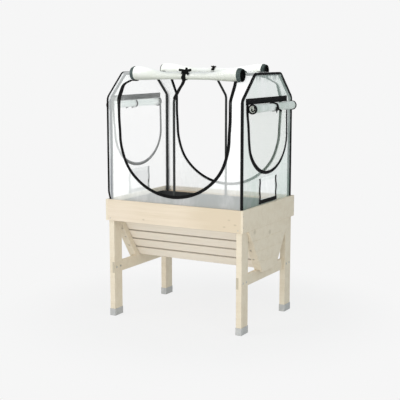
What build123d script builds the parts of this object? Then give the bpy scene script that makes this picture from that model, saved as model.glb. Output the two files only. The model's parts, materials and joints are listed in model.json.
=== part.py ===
from build123d import *
import math
import os

# Raised trough planter on four legs, with a lift-off film cover on tube hoops.
# Millimetres. +X runs along the planter, -Y is the front, +Z is up.
# The origin is on the ground, under the middle of the planter.

# Planter, outside sizes
LENGTH = 1000.0
WIDTH = 760.0
RIM = 780.0
SKIRT_HEIGHT = 138.0
BOARD = 15.0
EDGE_EASE = 1.5

# Legs, their plastic feet and the end rails
LEG_X = 38.0
LEG_Y = 88.0
LEG_TOP = 674.0
FOOT_WALL = 2.5
FOOT_SOLE = 3.0
FOOT_HEIGHT = 47.0
FOOT_ROUND = 3.0
RAIL_THICK = 17.0
RAIL_TOP = 362.0
RAIL_HEIGHT = 72.0

# V-shaped trough: end panels, sloping battens, slats, base board and liner
PANEL_TOP_HALF = 300.0
PANEL_FOOT_HALF = 100.0
PANEL_FOOT = 350.0
PANEL_BOARDS = 4
BATTEN = 38.0
SLAT_COUNT = 6
SLAT_HEIGHT = 73.0
SLAT_PITCH = 78.0
SLAT_TILT = 5.0
BASE_HALF = 36.0
LINER_WALL = 2.0
LINER_GAP = 2.0
LINER_TOP = 752.0

# Film cover: the end outline is two walls, two slopes and a flat ridge
COVER_HALF_X = 482.0
COVER_HALF_Y = 358.0
SHOULDER = 1436.0
RIDGE = 1597.0
RIDGE_HALF = 182.0
HEM = 754.0
FILM = 1.0
BINDING_WIDTH = 12.0
BINDING = 1.7

# Door in the front and in the back film, and its zip
DOOR_HALF = 390.0
DOOR_ARC_TOP = 1205.0
DOOR_ARC_DROP = 370.0
DOOR_SEAM_HALF = 132.0
ZIP_WIDTH = 20.0
ZIP = 1.5

# Window in each end, its mesh, its top strip and the access flap under it
WINDOW_HALF = 272.0
WINDOW_TOP = 1410.0
WINDOW_ARC_TOP = 1200.0
WINDOW_ARC_DROP = 216.0
WINDOW_TAPE = 18.0
STRIP_HALF = 295.0
STRIP_TOP = 1447.0
STRIP = 2.5
MESH = 0.8
MESH_LAP = 6.0
FLAP_HALF = 127.0
FLAP_TOP = 948.0
FLAP_FOOT = 786.0
FLAP_GAP = 0.4
FLAP_BORDER = 12.0
FLAP_HEM = 24.0
FLAP_TRIM = 1.2
FLAP_SEAM = 3.0
PORT_HALF = 100.0
PORT_LOW = 815.0
PORT_HIGH = 925.0

# Hoops of steel tube, ridge tube, tees and the sockets that hold the posts
TUBE_R = 8.0
TUBE_WALL = 1.2
TUBE_INSET = 12.0
HOOP_BEND = 45.0
TEE_R = 10.0
TEE_HALF = 22.0
TEE_REACH = 46.0
RUN_CLEARANCE = 0.3
SOCKET_HALF = 14.0
SOCKET_DEPTH = 31.0
SOCKET_FLOOR = 690.0
SOCKET_TOP = 735.0
SOCKET_SOLE = 4.0

# Rolled-up doors and windows, and the webbing that ties them
DOOR_ROLL_HALF = 394.0
DOOR_ROLL_SHIFT = 31.0
DOOR_ROLL_OUT = 21.7
FRONT_ROLL_DOWN = 57.0
BACK_ROLL_DOWN = 20.0
DOOR_ROLL_WAIST = 22.0
DOOR_ROLL_END = 43.5
DOOR_ROLL_ROOM = 1.5
DOOR_LEAD = 1.2
WINDOW_ROLL_HALF = 295.0
WINDOW_ROLL_X = 513.5
WINDOW_ROLL_Z = 1384.0
WINDOW_ROLL_WAIST = 25.0
WINDOW_ROLL_END = 28.5
ROLL_WALL = 2.5
ROLL_TURNS = 3
ROLL_CORE = 7.0
ROLL_MOUTH = 0.12
WRAP = 1.2

# Outline of a roll from its tied middle to its end: share of the half length, share of the flare
FLARE = ((0.30, 0.0), (0.62, 0.22), (0.86, 0.94), (0.97, 1.0), (1.0, 0.82))

# Webbing ties
WEB = 1.6
WEB_GAP = 0.3
DOOR_TIE_WIDTH = 25.0
DOOR_TIE_X = 14.0
TAIL_X = 2.0
WINDOW_TIE_WIDTH = 18.0
WINDOW_TIE_Y = 10.0
TAIL_START = 72.0
TAIL_DROP = 28.0
BOW_LOOP = 24.0
FRONT_BOW_RISE = 13.0
BACK_BOW_RISE = 5.5
BOW_WIDTH = 18.0
BOW_DROOP = 12.0
KNOT = 12.5
LOOSE_WIDTH = 12.0
LOOSE_LENGTH = 46.0
LOOSE_LEAN = 30.0
LOOSE_Y = 10.0
LOOSE_DROP = 20.0

# Zip sliders
SLIDER_X = DOOR_HALF + ZIP_WIDTH / 2
SLIDER_HALF = 7.0
SLIDER_THICK = 5.0
SLIDER_TOP = 1426.0
SLIDER_LENGTH = 26.0
PULL_HALF = 4.0
PULL_THICK = 1.6
PULL_LENGTH = 32.0

# Fasteners
BOLT_R = 3.0
BOLT_HOLE_R = 3.2
BOLT_HEAD_R = 8.0
BOLT_HEAD = 4.0
NUT_R = 6.5
NUT = 6.0
BOLT_SPREAD = 22.0
SCREW_R = 4.0
SCREW_PROUD = 0.6
SINK_R = 8.0
SINK = 6.0
SINK_HEAD_R = 5.5
SINK_HEAD = 2.5
SINK_ROWS = (1, 2, 3)
SINK_UP = 0.6

# Derived places
SKIRT_FOOT = RIM - SKIRT_HEIGHT
INNER_X = LENGTH / 2 - BOARD
INNER_Y = WIDTH / 2 - BOARD
LEG_IN_X = INNER_X - LEG_X
LEG_IN_Y = INNER_Y - LEG_Y
LEG_MID_X = INNER_X - LEG_X / 2
LEG_MID_Y = INNER_Y - LEG_Y / 2
RAIL_FOOT = RAIL_TOP - RAIL_HEIGHT
RAIL_MID = RAIL_TOP - RAIL_HEIGHT / 2
LEAN = math.atan2(PANEL_TOP_HALF - PANEL_FOOT_HALF, SKIRT_FOOT - PANEL_FOOT)
FILM_IN_X = COVER_HALF_X - FILM
POST_X = COVER_HALF_X - TUBE_INSET
POST_Y = COVER_HALF_Y - TUBE_INSET
HOOP_TOP = RIDGE - TUBE_INSET

parts = {}


def block(x, y, z):
    """Box between the (low, high) limits along each axis."""
    spans = (x, y, z)
    size = [high - low for low, high in spans]
    middle = [(low + high) / 2 for low, high in spans]
    return Pos(*middle) * Box(*size)


def along_x(points, low, high):
    """Prism with the (y, z) outline, from x = low to x = high."""
    outline = Polyline([(low, y, z) for y, z in points], close=True)
    return extrude(make_face(outline), amount=high - low, dir=(1, 0, 0))


def rod_x(radius, low, high, y, z):
    """Round bar along X."""
    return Pos((low + high) / 2, y, z) * Rot(0, 90, 0) * Cylinder(radius, high - low)


def flip_x(shape):
    """Copy on the other end of the planter."""
    return mirror(shape, about=Plane.YZ)


def flip_y(shape):
    """Copy on the other long side of the planter."""
    return mirror(shape, about=Plane.XZ)


def turn(shape):
    """Copy turned half a turn about the upright axis."""
    return Rot(0, 0, 180) * shape


def four_corners(name, shape):
    """Store a back right piece and its copies at the other three corners."""
    parts[name + "_back_right"] = shape
    parts[name + "_back_left"] = flip_x(shape)
    parts[name + "_front_right"] = flip_y(shape)
    parts[name + "_front_left"] = flip_y(flip_x(shape))


def slope_point(depth, climb):
    """(y, z) up the trough's slope from the rail, at a depth inside the end panel's edge."""
    start = PANEL_TOP_HALF - (SKIRT_FOOT - RAIL_TOP) * math.tan(LEAN)
    y = start + climb * math.sin(LEAN) - depth * math.cos(LEAN)
    z = RAIL_TOP + climb * math.cos(LEAN) + depth * math.sin(LEAN)
    return y, z


def slope_point_at(depth, z):
    """(y, z) on the same slope where it passes the height z."""
    climb = (z - RAIL_TOP - depth * math.sin(LEAN)) / math.cos(LEAN)
    return slope_point(depth, climb)


def cover_corners(grow):
    """Shoulder and ridge corners (y, z) of the back half, moved out by grow."""
    run = COVER_HALF_Y - RIDGE_HALF
    rise = RIDGE - SHOULDER
    length = math.hypot(run, rise)
    normal_y = rise / length
    normal_z = run / length
    reach = normal_y * COVER_HALF_Y + normal_z * SHOULDER + grow
    wall = COVER_HALF_Y + grow
    top = RIDGE + grow
    shoulder = (wall, (reach - normal_y * wall) / normal_z)
    ridge = ((reach - normal_z * top) / normal_y, top)
    return shoulder, ridge


def roll_axis(down):
    """(y, z) of a front door roll's axis, at a distance down the slope from the ridge."""
    run = COVER_HALF_Y - RIDGE_HALF
    rise = RIDGE - SHOULDER
    length = math.hypot(run, rise)
    y = RIDGE_HALF + (down * run + DOOR_ROLL_OUT * rise) / length
    z = RIDGE + (DOOR_ROLL_OUT * run - down * rise) / length
    return -y, z


def roll_room(down):
    """Bar round a front door roll that the film beside the door keeps clear of."""
    high = DOOR_ROLL_SHIFT + DOOR_ROLL_HALF + DOOR_ROLL_ROOM
    low = high - 2 * (DOOR_ROLL_HALF + DOOR_ROLL_ROOM)
    return rod_x(DOOR_ROLL_END + DOOR_ROLL_ROOM, low, high, *roll_axis(down))


def cover_half(grow, foot=HEM):
    """Back half of the end outline, from the hem to the ridge corner."""
    shoulder, ridge = cover_corners(grow)
    return [(shoulder[0], foot), shoulder, ridge]


def cover_outline(grow, foot=HEM):
    """Whole end outline, from the front hem over the ridge to the back hem."""
    half = cover_half(grow, foot)
    return [(-y, z) for y, z in half] + half[::-1]


def front_skin(inner, outer, foot, reach):
    """Front wall and slope as a bent sheet between two offsets of the outline."""
    outside = cover_half(outer, foot)
    inside = cover_half(inner, foot)
    loop = [(-y, z) for y, z in outside + inside[::-1]]
    return along_x(loop, -reach, reach)


def arch_sketch(half, top, arc_top, arc_drop, grow=0.0):
    """Upright sides that end in half an ellipse below."""
    side = Pos(0, (top + arc_top) / 2) * Rectangle(2 * (half + grow), top - arc_top)
    return side + Pos(0, arc_top) * Ellipse(half + grow, arc_drop + grow)


def door_cut(grow=0.0):
    """Solid through the front film with the door's outline."""
    sketch = arch_sketch(DOOR_HALF, RIDGE + BOARD, DOOR_ARC_TOP, DOOR_ARC_DROP, grow)
    return extrude(Plane.XZ * sketch, amount=WIDTH)


def window_plate(inner, outer, grow=0.0):
    """Plate with the window's outline in the right end, between two X values."""
    sketch = arch_sketch(WINDOW_HALF, WINDOW_TOP, WINDOW_ARC_TOP, WINDOW_ARC_DROP, grow)
    return Pos(inner, 0, 0) * extrude(Plane.YZ * sketch, amount=outer - inner)


def roll_core(half, waist, end):
    """Solid of revolution along X: slim where it is tied, flared at both ends."""
    right = [(half * along, waist + (end - waist) * swell) for along, swell in FLARE]
    left = [(-x, r) for x, r in right[::-1]]
    outline = Polyline(left + right + [(half, 0), (-half, 0)], close=True)
    return revolve(make_face(outline), Axis.X)


def wound_strip(outer, length):
    """Spiral of film along X, in half circles, as it shows in the end of a roll."""
    gain = (outer - ROLL_CORE) / (2 * ROLL_TURNS)
    edges = [Line((r, 0), (r + WRAP, 0)) for r in (ROLL_CORE, outer)]
    for half_turn in range(2 * ROLL_TURNS):
        lower = half_turn % 2
        radius = ROLL_CORE + half_turn * gain
        for r in (radius, radius + WRAP):
            edges.append(CenterArc((lower * gain, 0), r, 180 * lower, 180))
    return extrude(Plane.YZ * make_face(edges), amount=length)


def roll(half, waist, end):
    """Hollow tied roll of film along X, with the windings showing in its ends."""
    shell = roll_core(half, waist, end) - roll_core(half, waist - ROLL_WALL, end - ROLL_WALL)
    mouth = waist + FLARE[-1][1] * (end - waist)
    strip = Pos((1 - ROLL_MOUTH) * half, 0, 0) * wound_strip(mouth - ROLL_WALL, ROLL_MOUTH * half)
    return shell + strip + turn(strip)


def roll_lengths(half, waist, end):
    """The same roll as its tied middle and its two flared ends, which meet face to face."""
    whole = roll(half, waist, end)
    cut = FLARE[1][0] * half
    across = (-2 * end, 2 * end)
    spans = ((-half, -cut), (-cut, cut), (cut, half))
    return [whole & block(span, across, across) for span in spans]


def hoop(x):
    """Bent tube from socket to socket across the planter."""
    foot = SOCKET_FLOOR + SOCKET_SOLE + RUN_CLEARANCE
    path_points = [(x, y, z) for y, z in cover_outline(-TUBE_INSET, foot)]
    path = FilletPolyline(path_points, radius=HOOP_BEND)
    section = Circle(TUBE_R) - Circle(TUBE_R - TUBE_WALL)
    return sweep(Pos(*path_points[0]) * section, path=path)


def build_skirt():
    """Four boards round the rim, the end boards lapping the long ones."""
    long_board = block((-INNER_X, INNER_X), (INNER_Y, WIDTH / 2), (SKIRT_FOOT, RIM))
    end_board = block((INNER_X, LENGTH / 2), (-WIDTH / 2, WIDTH / 2), (SKIRT_FOOT, RIM))
    long_edges = long_board.faces().sort_by(Axis.Y)[-1].edges().filter_by(Axis.X)
    end_edges = end_board.faces().sort_by(Axis.X)[-1].edges()
    long_board = fillet(long_edges, EDGE_EASE)
    end_board = fillet(end_edges, EDGE_EASE)
    parts["skirt_back"] = long_board
    parts["skirt_front"] = flip_y(long_board)
    parts["skirt_right"] = end_board
    parts["skirt_left"] = flip_x(end_board)


def build_legs():
    """Legs housed for the end rails, and their capped feet."""
    leg = block((LEG_IN_X, INNER_X), (LEG_IN_Y, INNER_Y), (FOOT_SOLE, LEG_TOP))
    leg = chamfer(leg.edges().filter_by(Axis.Z), EDGE_EASE)
    leg -= block((LEG_IN_X, LEG_IN_X + RAIL_THICK), (LEG_IN_Y, INNER_Y), (RAIL_FOOT, RAIL_TOP))
    for side in (-1, 1):
        leg -= rod_x(BOLT_HOLE_R, LEG_IN_X, INNER_X, LEG_MID_Y + side * BOLT_SPREAD, RAIL_MID)
    four_corners("leg", leg)
    foot = block(
        (LEG_IN_X - FOOT_WALL, INNER_X + FOOT_WALL),
        (LEG_IN_Y - FOOT_WALL, INNER_Y + FOOT_WALL),
        (0, FOOT_HEIGHT),
    )
    foot = fillet(foot.edges().filter_by(Axis.Z), FOOT_ROUND)
    foot = chamfer(foot.faces().sort_by(Axis.Z)[0].edges(), EDGE_EASE)
    foot -= block((LEG_IN_X, INNER_X), (LEG_IN_Y, INNER_Y), (FOOT_SOLE, FOOT_HEIGHT))
    four_corners("foot", foot)


def build_rails():
    """Rails let into the legs, one at each end."""
    rail = block((LEG_IN_X, LEG_IN_X + RAIL_THICK), (-INNER_Y, INNER_Y), (RAIL_FOOT, RAIL_TOP))
    for bolt_y in bolt_places():
        rail -= rod_x(BOLT_HOLE_R, LEG_IN_X, INNER_X, bolt_y, RAIL_MID)
    parts["rail_right"] = rail
    parts["rail_left"] = flip_x(rail)


def bolt_places():
    """Y of the four bolts through one end rail."""
    return [end * (LEG_MID_Y + side * BOLT_SPREAD) for end in (-1, 1) for side in (-1, 1)]


def build_end_panels():
    """V-shaped ends of level boards, in the plane of the skirt's end boards."""
    pitch = (SKIRT_FOOT - PANEL_FOOT) / PANEL_BOARDS
    boards = []
    for row in range(PANEL_BOARDS):
        low = PANEL_FOOT + row * pitch
        high = low + pitch
        low_y = slope_point_at(0, low)[0]
        high_y = slope_point_at(0, high)[0]
        outline = [(-low_y, low), (low_y, low), (high_y, high), (-high_y, high)]
        board = along_x(outline, INNER_X, LENGTH / 2)
        outer = board.faces().sort_by(Axis.X)[-1]
        boards.append(chamfer(outer.edges().filter_by(Axis.Y), EDGE_EASE))
    panel = Compound(boards)
    parts["end_panel_right"] = panel
    parts["end_panel_left"] = flip_x(panel)


def slat_start(row):
    """Climb of a slat's lower edge."""
    return row * SLAT_PITCH - (BATTEN + SLAT_TILT) * math.tan(LEAN)


def sunk(row, radius, low, high):
    """Disc in the back right batten at a slat's screw, between two depths from its outer face."""
    climb = slat_start(row) + SINK_UP * SLAT_HEIGHT
    y, z = slope_point((low + high) / 2, climb)
    return Pos(LEG_MID_X, y, z) * Rot(90 - math.degrees(LEAN), 0, 0) * Cylinder(radius, high - low)


def build_battens():
    """Sloping battens between rail and leg, bored for the sunk screws that hold the slats."""
    reach = LEG_TOP - RAIL_FOOT
    ends = (-reach, reach)
    strip = [slope_point(0, end) for end in ends] + [slope_point(BATTEN, end) for end in ends[::-1]]
    batten = along_x(strip, LEG_IN_X, INNER_X)
    batten &= block((LEG_IN_X, INNER_X), (0, LEG_IN_Y), (RAIL_TOP, LEG_TOP))
    for row in SINK_ROWS:
        batten -= sunk(row, SINK_R, 0, SINK)
    four_corners("batten", batten)


def build_slats():
    """Lapped slats on each long side, the base board between them and the liner."""
    slats = []
    for row in range(SLAT_COUNT):
        low = slat_start(row)
        high = low + SLAT_HEIGHT
        outline = [
            slope_point(BATTEN + SLAT_TILT, low),
            slope_point(BATTEN, high),
            slope_point(BATTEN + BOARD, high),
            slope_point(BATTEN + SLAT_TILT + BOARD, low),
        ]
        slats.append(along_x(outline, -INNER_X, INNER_X))
    side = Compound(slats)
    parts["back_slats"] = side
    parts["front_slats"] = flip_y(side)
    base = block((-INNER_X, INNER_X), (-BASE_HALF, BASE_HALF), (RAIL_TOP, RAIL_TOP + BOARD))
    parts["base_board"] = base
    depth = BATTEN + SLAT_TILT + BOARD + LINER_GAP
    parts["liner"] = trough(depth, 0) - trough(depth + LINER_WALL, LINER_WALL)


def trough(depth, wall):
    """V-shaped solid that fills the trough, a wall's thickness inside the liner."""
    foot = RAIL_TOP + BOARD + LINER_GAP + wall
    low_y = slope_point_at(depth, foot)[0]
    high_y = slope_point_at(depth, LINER_TOP)[0]
    outline = [(-low_y, foot), (low_y, foot), (high_y, LINER_TOP), (-high_y, LINER_TOP)]
    reach = INNER_X - LINER_GAP - wall
    return along_x(outline, -reach, reach)


def build_fasteners():
    """Coach bolts and nuts through the rails, and screw heads in the skirt and the battens."""
    pieces = []
    for bolt_y in bolt_places():
        bolt = rod_x(BOLT_R, LEG_IN_X - NUT, INNER_X, bolt_y, RAIL_MID)
        dome = Pos(INNER_X, bolt_y, RAIL_MID) * Rot(0, 90, 0) * Cone(BOLT_HEAD_R, BOLT_R, BOLT_HEAD)
        bolt += Pos(BOLT_HEAD / 2, 0, 0) * dome
        nut = RegularPolygon(NUT_R, side_count=6) - Circle(BOLT_R)
        bolt += Pos(LEG_IN_X - NUT, bolt_y, RAIL_MID) * Rot(0, 90, 0) * extrude(nut, amount=NUT)
        pieces += [bolt, flip_x(bolt)]
    head = Cylinder(SCREW_R, SCREW_PROUD)
    lift = SCREW_PROUD / 2
    for side in (-1, 1):
        for end in (-1, 1):
            corner_y = end * (WIDTH / 2 - BOARD / 2)
            for z in (SKIRT_FOOT + SKIRT_HEIGHT / 4, RIM - SKIRT_HEIGHT / 4):
                pieces.append(Pos(side * (LENGTH / 2 + lift), corner_y, z) * Rot(0, 90, 0) * head)
            z = (SKIRT_FOOT + LEG_TOP) / 2
            pieces.append(Pos(side * LEG_MID_X, end * (WIDTH / 2 + lift), z) * Rot(90, 0, 0) * head)
    for row in SINK_ROWS:
        screw = sunk(row, SINK_HEAD_R, SINK - SINK_HEAD, SINK)
        pieces += [screw, flip_x(screw), flip_y(screw), turn(screw)]
    parts["fasteners"] = Compound(pieces)


def build_frame():
    """Three hoops, the ridge tube between them, its tees and the post sockets."""
    for name, x in (("left", -POST_X), ("mid", 0.0), ("right", POST_X)):
        parts["hoop_" + name] = hoop(x)
    near = TUBE_R + RUN_CLEARANCE
    tube = rod_x(TUBE_R, near, POST_X - near, 0, HOOP_TOP)
    tube -= rod_x(TUBE_R - TUBE_WALL, near, POST_X - near, 0, HOOP_TOP)
    parts["ridge_tubes"] = Compound([tube, flip_x(tube)])
    bore_y = Rot(90, 0, 0) * Cylinder(TUBE_R, 2 * TEE_HALF)
    bore_x = Rot(0, 90, 0) * Cylinder(TUBE_R, 4 * TEE_REACH)
    collar = Rot(90, 0, 0) * Cylinder(TEE_R, 2 * TEE_HALF)
    arm = Pos(-TEE_REACH / 2, 0, 0) * Rot(0, 90, 0) * Cylinder(TEE_R, TEE_REACH)
    half_bore = bore_x & block((-2 * TEE_REACH, 0), (-TEE_R, TEE_R), (-TEE_R, TEE_R))
    end_tee = collar + arm - bore_y - half_bore
    mid_tee = collar + arm + flip_x(arm) - bore_y - bore_x
    right_tee = Pos(POST_X, 0, HOOP_TOP) * end_tee
    parts["ridge_tees"] = Compound([right_tee, Pos(0, 0, HOOP_TOP) * mid_tee, flip_x(right_tee)])
    sockets = []
    depth = SOCKET_TOP - SOCKET_FLOOR - SOCKET_SOLE
    for x in (-POST_X, 0.0, POST_X):
        socket = block(
            (x - SOCKET_HALF, x + SOCKET_HALF),
            (INNER_Y - SOCKET_DEPTH, INNER_Y),
            (SOCKET_FLOOR, SOCKET_TOP),
        )
        bore = Pos(x, POST_Y, SOCKET_TOP) * Cylinder(TUBE_R + RUN_CLEARANCE, 2 * depth)
        front = socket.faces().sort_by(Axis.Y)[0].edges().filter_by(Axis.Z)
        socket = fillet(front, SOCKET_HALF / 2) - bore
        sockets += [socket, flip_y(socket)]
    parts["post_sockets"] = Compound(sockets)


def build_film():
    """Film panels, edge bindings and door zips of the cover."""
    front = front_skin(-FILM, 0, HEM, FILM_IN_X) - door_cut()
    parts["film_front"] = front - roll_room(FRONT_ROLL_DOWN)
    parts["film_back"] = turn(front - roll_room(BACK_ROLL_DOWN))
    outer = cover_corners(0)[1]
    inner = cover_corners(-FILM)[1]
    strip = [outer, (-outer[0], outer[1]), (-inner[0], inner[1]), inner]
    roof = along_x(strip, -FILM_IN_X, FILM_IN_X)
    for side in (-1, 1):
        notch = sorted((side * DOOR_SEAM_HALF, side * WIDTH))
        roof -= block((-DOOR_HALF, DOOR_HALF), notch, (SHOULDER, RIDGE + BOARD))
    parts["film_roof"] = roof - roll_room(FRONT_ROLL_DOWN) - turn(roll_room(BACK_ROLL_DOWN))
    end = along_x(cover_outline(0), FILM_IN_X, COVER_HALF_X) - window_plate(FILM_IN_X, COVER_HALF_X)
    end -= block((FILM_IN_X, COVER_HALF_X), (-PORT_HALF, PORT_HALF), (PORT_LOW, PORT_HIGH))
    parts["film_right"] = end
    parts["film_left"] = flip_x(end)
    face = along_x(cover_outline(BINDING), COVER_HALF_X, COVER_HALF_X + BINDING)
    face -= along_x(cover_outline(-BINDING_WIDTH), COVER_HALF_X, COVER_HALF_X + BINDING)
    wrap = along_x(cover_outline(BINDING), COVER_HALF_X - BINDING_WIDTH, COVER_HALF_X)
    wrap -= along_x(cover_outline(0), COVER_HALF_X - BINDING_WIDTH, COVER_HALF_X)
    parts["binding_right"] = face + wrap
    parts["binding_left"] = flip_x(face + wrap)
    tape = front_skin(0, ZIP, HEM, FILM_IN_X) & (door_cut(ZIP_WIDTH) - door_cut())
    parts["front_zip"] = tape - roll_room(FRONT_ROLL_DOWN)
    parts["back_zip"] = turn(tape - roll_room(BACK_ROLL_DOWN))


def build_windows():
    """Window mesh, bound edge with its top strip, rolled flap, tie and access flap."""
    mesh = window_plate(FILM_IN_X - MESH, FILM_IN_X, MESH_LAP)
    parts["right_window_mesh"] = mesh
    tape_x = COVER_HALF_X + ZIP
    frame = window_plate(COVER_HALF_X, tape_x, WINDOW_TAPE) - window_plate(COVER_HALF_X, tape_x)
    strip_x = (COVER_HALF_X, COVER_HALF_X + STRIP)
    frame += block(strip_x, (-STRIP_HALF, STRIP_HALF), (WINDOW_TOP, STRIP_TOP))
    parts["right_window_frame"] = frame
    lead_top = WINDOW_TOP - ZIP
    lead = block(
        (COVER_HALF_X + STRIP + FLAP_GAP, WINDOW_ROLL_X - WINDOW_ROLL_WAIST / 2),
        (-STRIP_HALF + BOARD, STRIP_HALF - BOARD),
        (lead_top - 2 * DOOR_LEAD, lead_top),
    )
    slot = WINDOW_TIE_WIDTH / 2 + WEB
    lead -= block((COVER_HALF_X, LENGTH), (WINDOW_TIE_Y - slot, WINDOW_TIE_Y + slot), (0, STRIP_TOP))
    place = Pos(WINDOW_ROLL_X, 0, WINDOW_ROLL_Z) * Rot(0, 0, 90)
    size = (WINDOW_ROLL_HALF, WINDOW_ROLL_WAIST, WINDOW_ROLL_END)
    parts["right_window_roll"] = Compound([place * roll(*size), lead - place * roll_core(*size)])
    inner = WINDOW_ROLL_WAIST + WEB_GAP
    band = Cylinder(inner + WEB, WINDOW_TIE_WIDTH) - Cylinder(inner, WINDOW_TIE_WIDTH)
    tie = Pos(WINDOW_ROLL_X, WINDOW_TIE_Y, WINDOW_ROLL_Z) * Rot(90, 0, 0) * band
    front = WINDOW_ROLL_X + inner + WEB
    knot = Pos(front + WEB, WINDOW_TIE_Y, WINDOW_ROLL_Z) * Box(3 * WEB, KNOT, WINDOW_TIE_WIDTH)
    tail = Rot(LOOSE_LEAN, 0, 0) * Box(WEB, LOOSE_WIDTH, LOOSE_LENGTH)
    tail = Pos(front + WEB / 2, WINDOW_TIE_Y + LOOSE_Y, WINDOW_ROLL_Z - LOOSE_DROP) * tail
    parts["right_window_tie"] = tie + knot + tail
    flap_x = COVER_HALF_X + FLAP_GAP
    flap = block((flap_x, flap_x + FILM), (-FLAP_HALF, FLAP_HALF), (FLAP_FOOT, FLAP_TOP))
    rim_x = (flap_x + FILM, flap_x + FILM + FLAP_TRIM)
    rim = block(rim_x, (-FLAP_HALF, FLAP_HALF), (FLAP_FOOT, FLAP_TOP - FLAP_SEAM))
    clear = FLAP_HALF - FLAP_BORDER
    rim -= block((flap_x, flap_x + BOARD), (-clear, clear), (FLAP_FOOT + FLAP_HEM, FLAP_TOP))
    parts["right_flap"] = flap + rim
    for name in ("window_mesh", "window_frame", "window_roll", "window_tie", "flap"):
        parts["left_" + name] = turn(parts["right_" + name])


def door(down):
    """Front door from its seam over the ridge corner to its roll, lying down the slope."""
    place = Pos(DOOR_ROLL_SHIFT, *roll_axis(down))
    size = (DOOR_ROLL_HALF, DOOR_ROLL_WAIST, DOOR_ROLL_END)
    low = cover_corners(DOOR_LEAD / 2)[1]
    high = cover_corners(1.5 * DOOR_LEAD)[1]
    seam = DOOR_SEAM_HALF + 2 * DOOR_LEAD
    flat = [(-seam, low[1]), (-low[0], low[1]), (-high[0], high[1]), (-seam, high[1])]
    run = COVER_HALF_Y - RIDGE_HALF
    rise = RIDGE - SHOULDER
    share = down / math.hypot(run, rise)
    slope = [(-y, z) for y, z in (low, high)]
    slope += [(y - share * run, z - share * rise) for y, z in slope[::-1]]
    reach = DOOR_ROLL_HALF - DOOR_ROLL_SHIFT - BOARD
    slot = DOOR_TIE_WIDTH / 2 + WEB
    ring = DOOR_ROLL_WAIST + 2 * WEB
    gap = rod_x(ring, DOOR_TIE_X - slot, DOOR_TIE_X + slot, *roll_axis(down))
    core = place * roll_core(*size)
    leads = [along_x(strip, -reach, reach) - core - gap for strip in (flat, slope)]
    return Compound(leads + [place * length for length in roll_lengths(*size)])


def build_doors():
    """Rolled doors along the ridge, their webbing ties and the zip sliders."""
    parts["front_door_roll"] = door(FRONT_ROLL_DOWN)
    parts["back_door_roll"] = turn(door(BACK_ROLL_DOWN))
    parts["front_tie"] = Compound([door_tie(FRONT_ROLL_DOWN, FRONT_BOW_RISE), tie_tail()])
    parts["back_tie"] = turn(door_tie(BACK_ROLL_DOWN, BACK_BOW_RISE))
    face_y = -COVER_HALF_Y - ZIP - WEB_GAP
    slider = block(
        (SLIDER_X - SLIDER_HALF, SLIDER_X + SLIDER_HALF),
        (face_y - SLIDER_THICK, face_y),
        (SLIDER_TOP - SLIDER_LENGTH, SLIDER_TOP),
    )
    slider = fillet(slider.edges().filter_by(Axis.Y), SLIDER_HALF / 2)
    pull_y = face_y - SLIDER_THICK / 2
    slider += block(
        (SLIDER_X - PULL_HALF, SLIDER_X + PULL_HALF),
        (pull_y - PULL_THICK, pull_y),
        (SLIDER_TOP - SLIDER_LENGTH - PULL_LENGTH, SLIDER_TOP - SLIDER_LENGTH + PULL_HALF),
    )
    parts["front_slider_right"] = slider
    parts["front_slider_left"] = flip_x(slider)
    parts["back_slider_right"] = flip_y(slider)
    parts["back_slider_left"] = turn(slider)


def door_tie(down, rise):
    """Webbing round a front roll's waist, with a bow on top."""
    y, z = roll_axis(down)
    inner = DOOR_ROLL_WAIST + WEB_GAP
    span = (DOOR_TIE_X - DOOR_TIE_WIDTH / 2, DOOR_TIE_X + DOOR_TIE_WIDTH / 2)
    tie = rod_x(inner + WEB, *span, y, z) - rod_x(inner, *span, y, z)
    top = z + inner + WEB
    loop = Ellipse(BOW_LOOP, rise) - Ellipse(BOW_LOOP - WEB, rise - WEB)
    for side in (-1, 1):
        place = Pos(DOOR_TIE_X + side * BOW_LOOP, y + BOW_WIDTH / 2, top + rise)
        tie += place * Rot(0, -side * BOW_DROOP, 0) * extrude(Plane.XZ * loop, amount=BOW_WIDTH)
    knot = Box(rise, BOW_WIDTH + 2 * WEB, rise + 2 * WEB_GAP)
    return tie + Pos(DOOR_TIE_X, y, top + rise / 2) * knot


def tie_tail():
    """Loose end of the front webbing, lying down the slope and over the shoulder."""
    outside = cover_half(WEB, SHOULDER - TAIL_DROP)
    inside = cover_half(0, SHOULDER - TAIL_DROP)
    strip = [(-y, z) for y, z in outside + inside[::-1]]
    tail = along_x(strip, TAIL_X - DOOR_TIE_WIDTH / 2, TAIL_X + DOOR_TIE_WIDTH / 2)
    slope = math.hypot(COVER_HALF_Y - RIDGE_HALF, RIDGE - SHOULDER)
    start_y = RIDGE_HALF + TAIL_START * (COVER_HALF_Y - RIDGE_HALF) / slope
    return tail - block((-WIDTH, WIDTH), (-start_y, WIDTH), (0, 2 * RIDGE))


build_skirt()
build_legs()
build_rails()
build_end_panels()
build_battens()
build_slats()
build_fasteners()
build_frame()
build_film()
build_windows()
build_doors()

os.makedirs("parts", exist_ok=True)
for node, shape in parts.items():
    export_step(shape, os.path.join("parts", node + ".step"))
print(len(parts), "nodes")
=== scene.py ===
"""Dresses the raised planter with its film cover: soft pieces, finishes, light and camera."""

import json
import logging
import math
from dataclasses import dataclass
from enum import Enum
from typing import Callable, Optional, Sequence

import bmesh
import bpy
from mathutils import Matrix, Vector, noise

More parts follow.
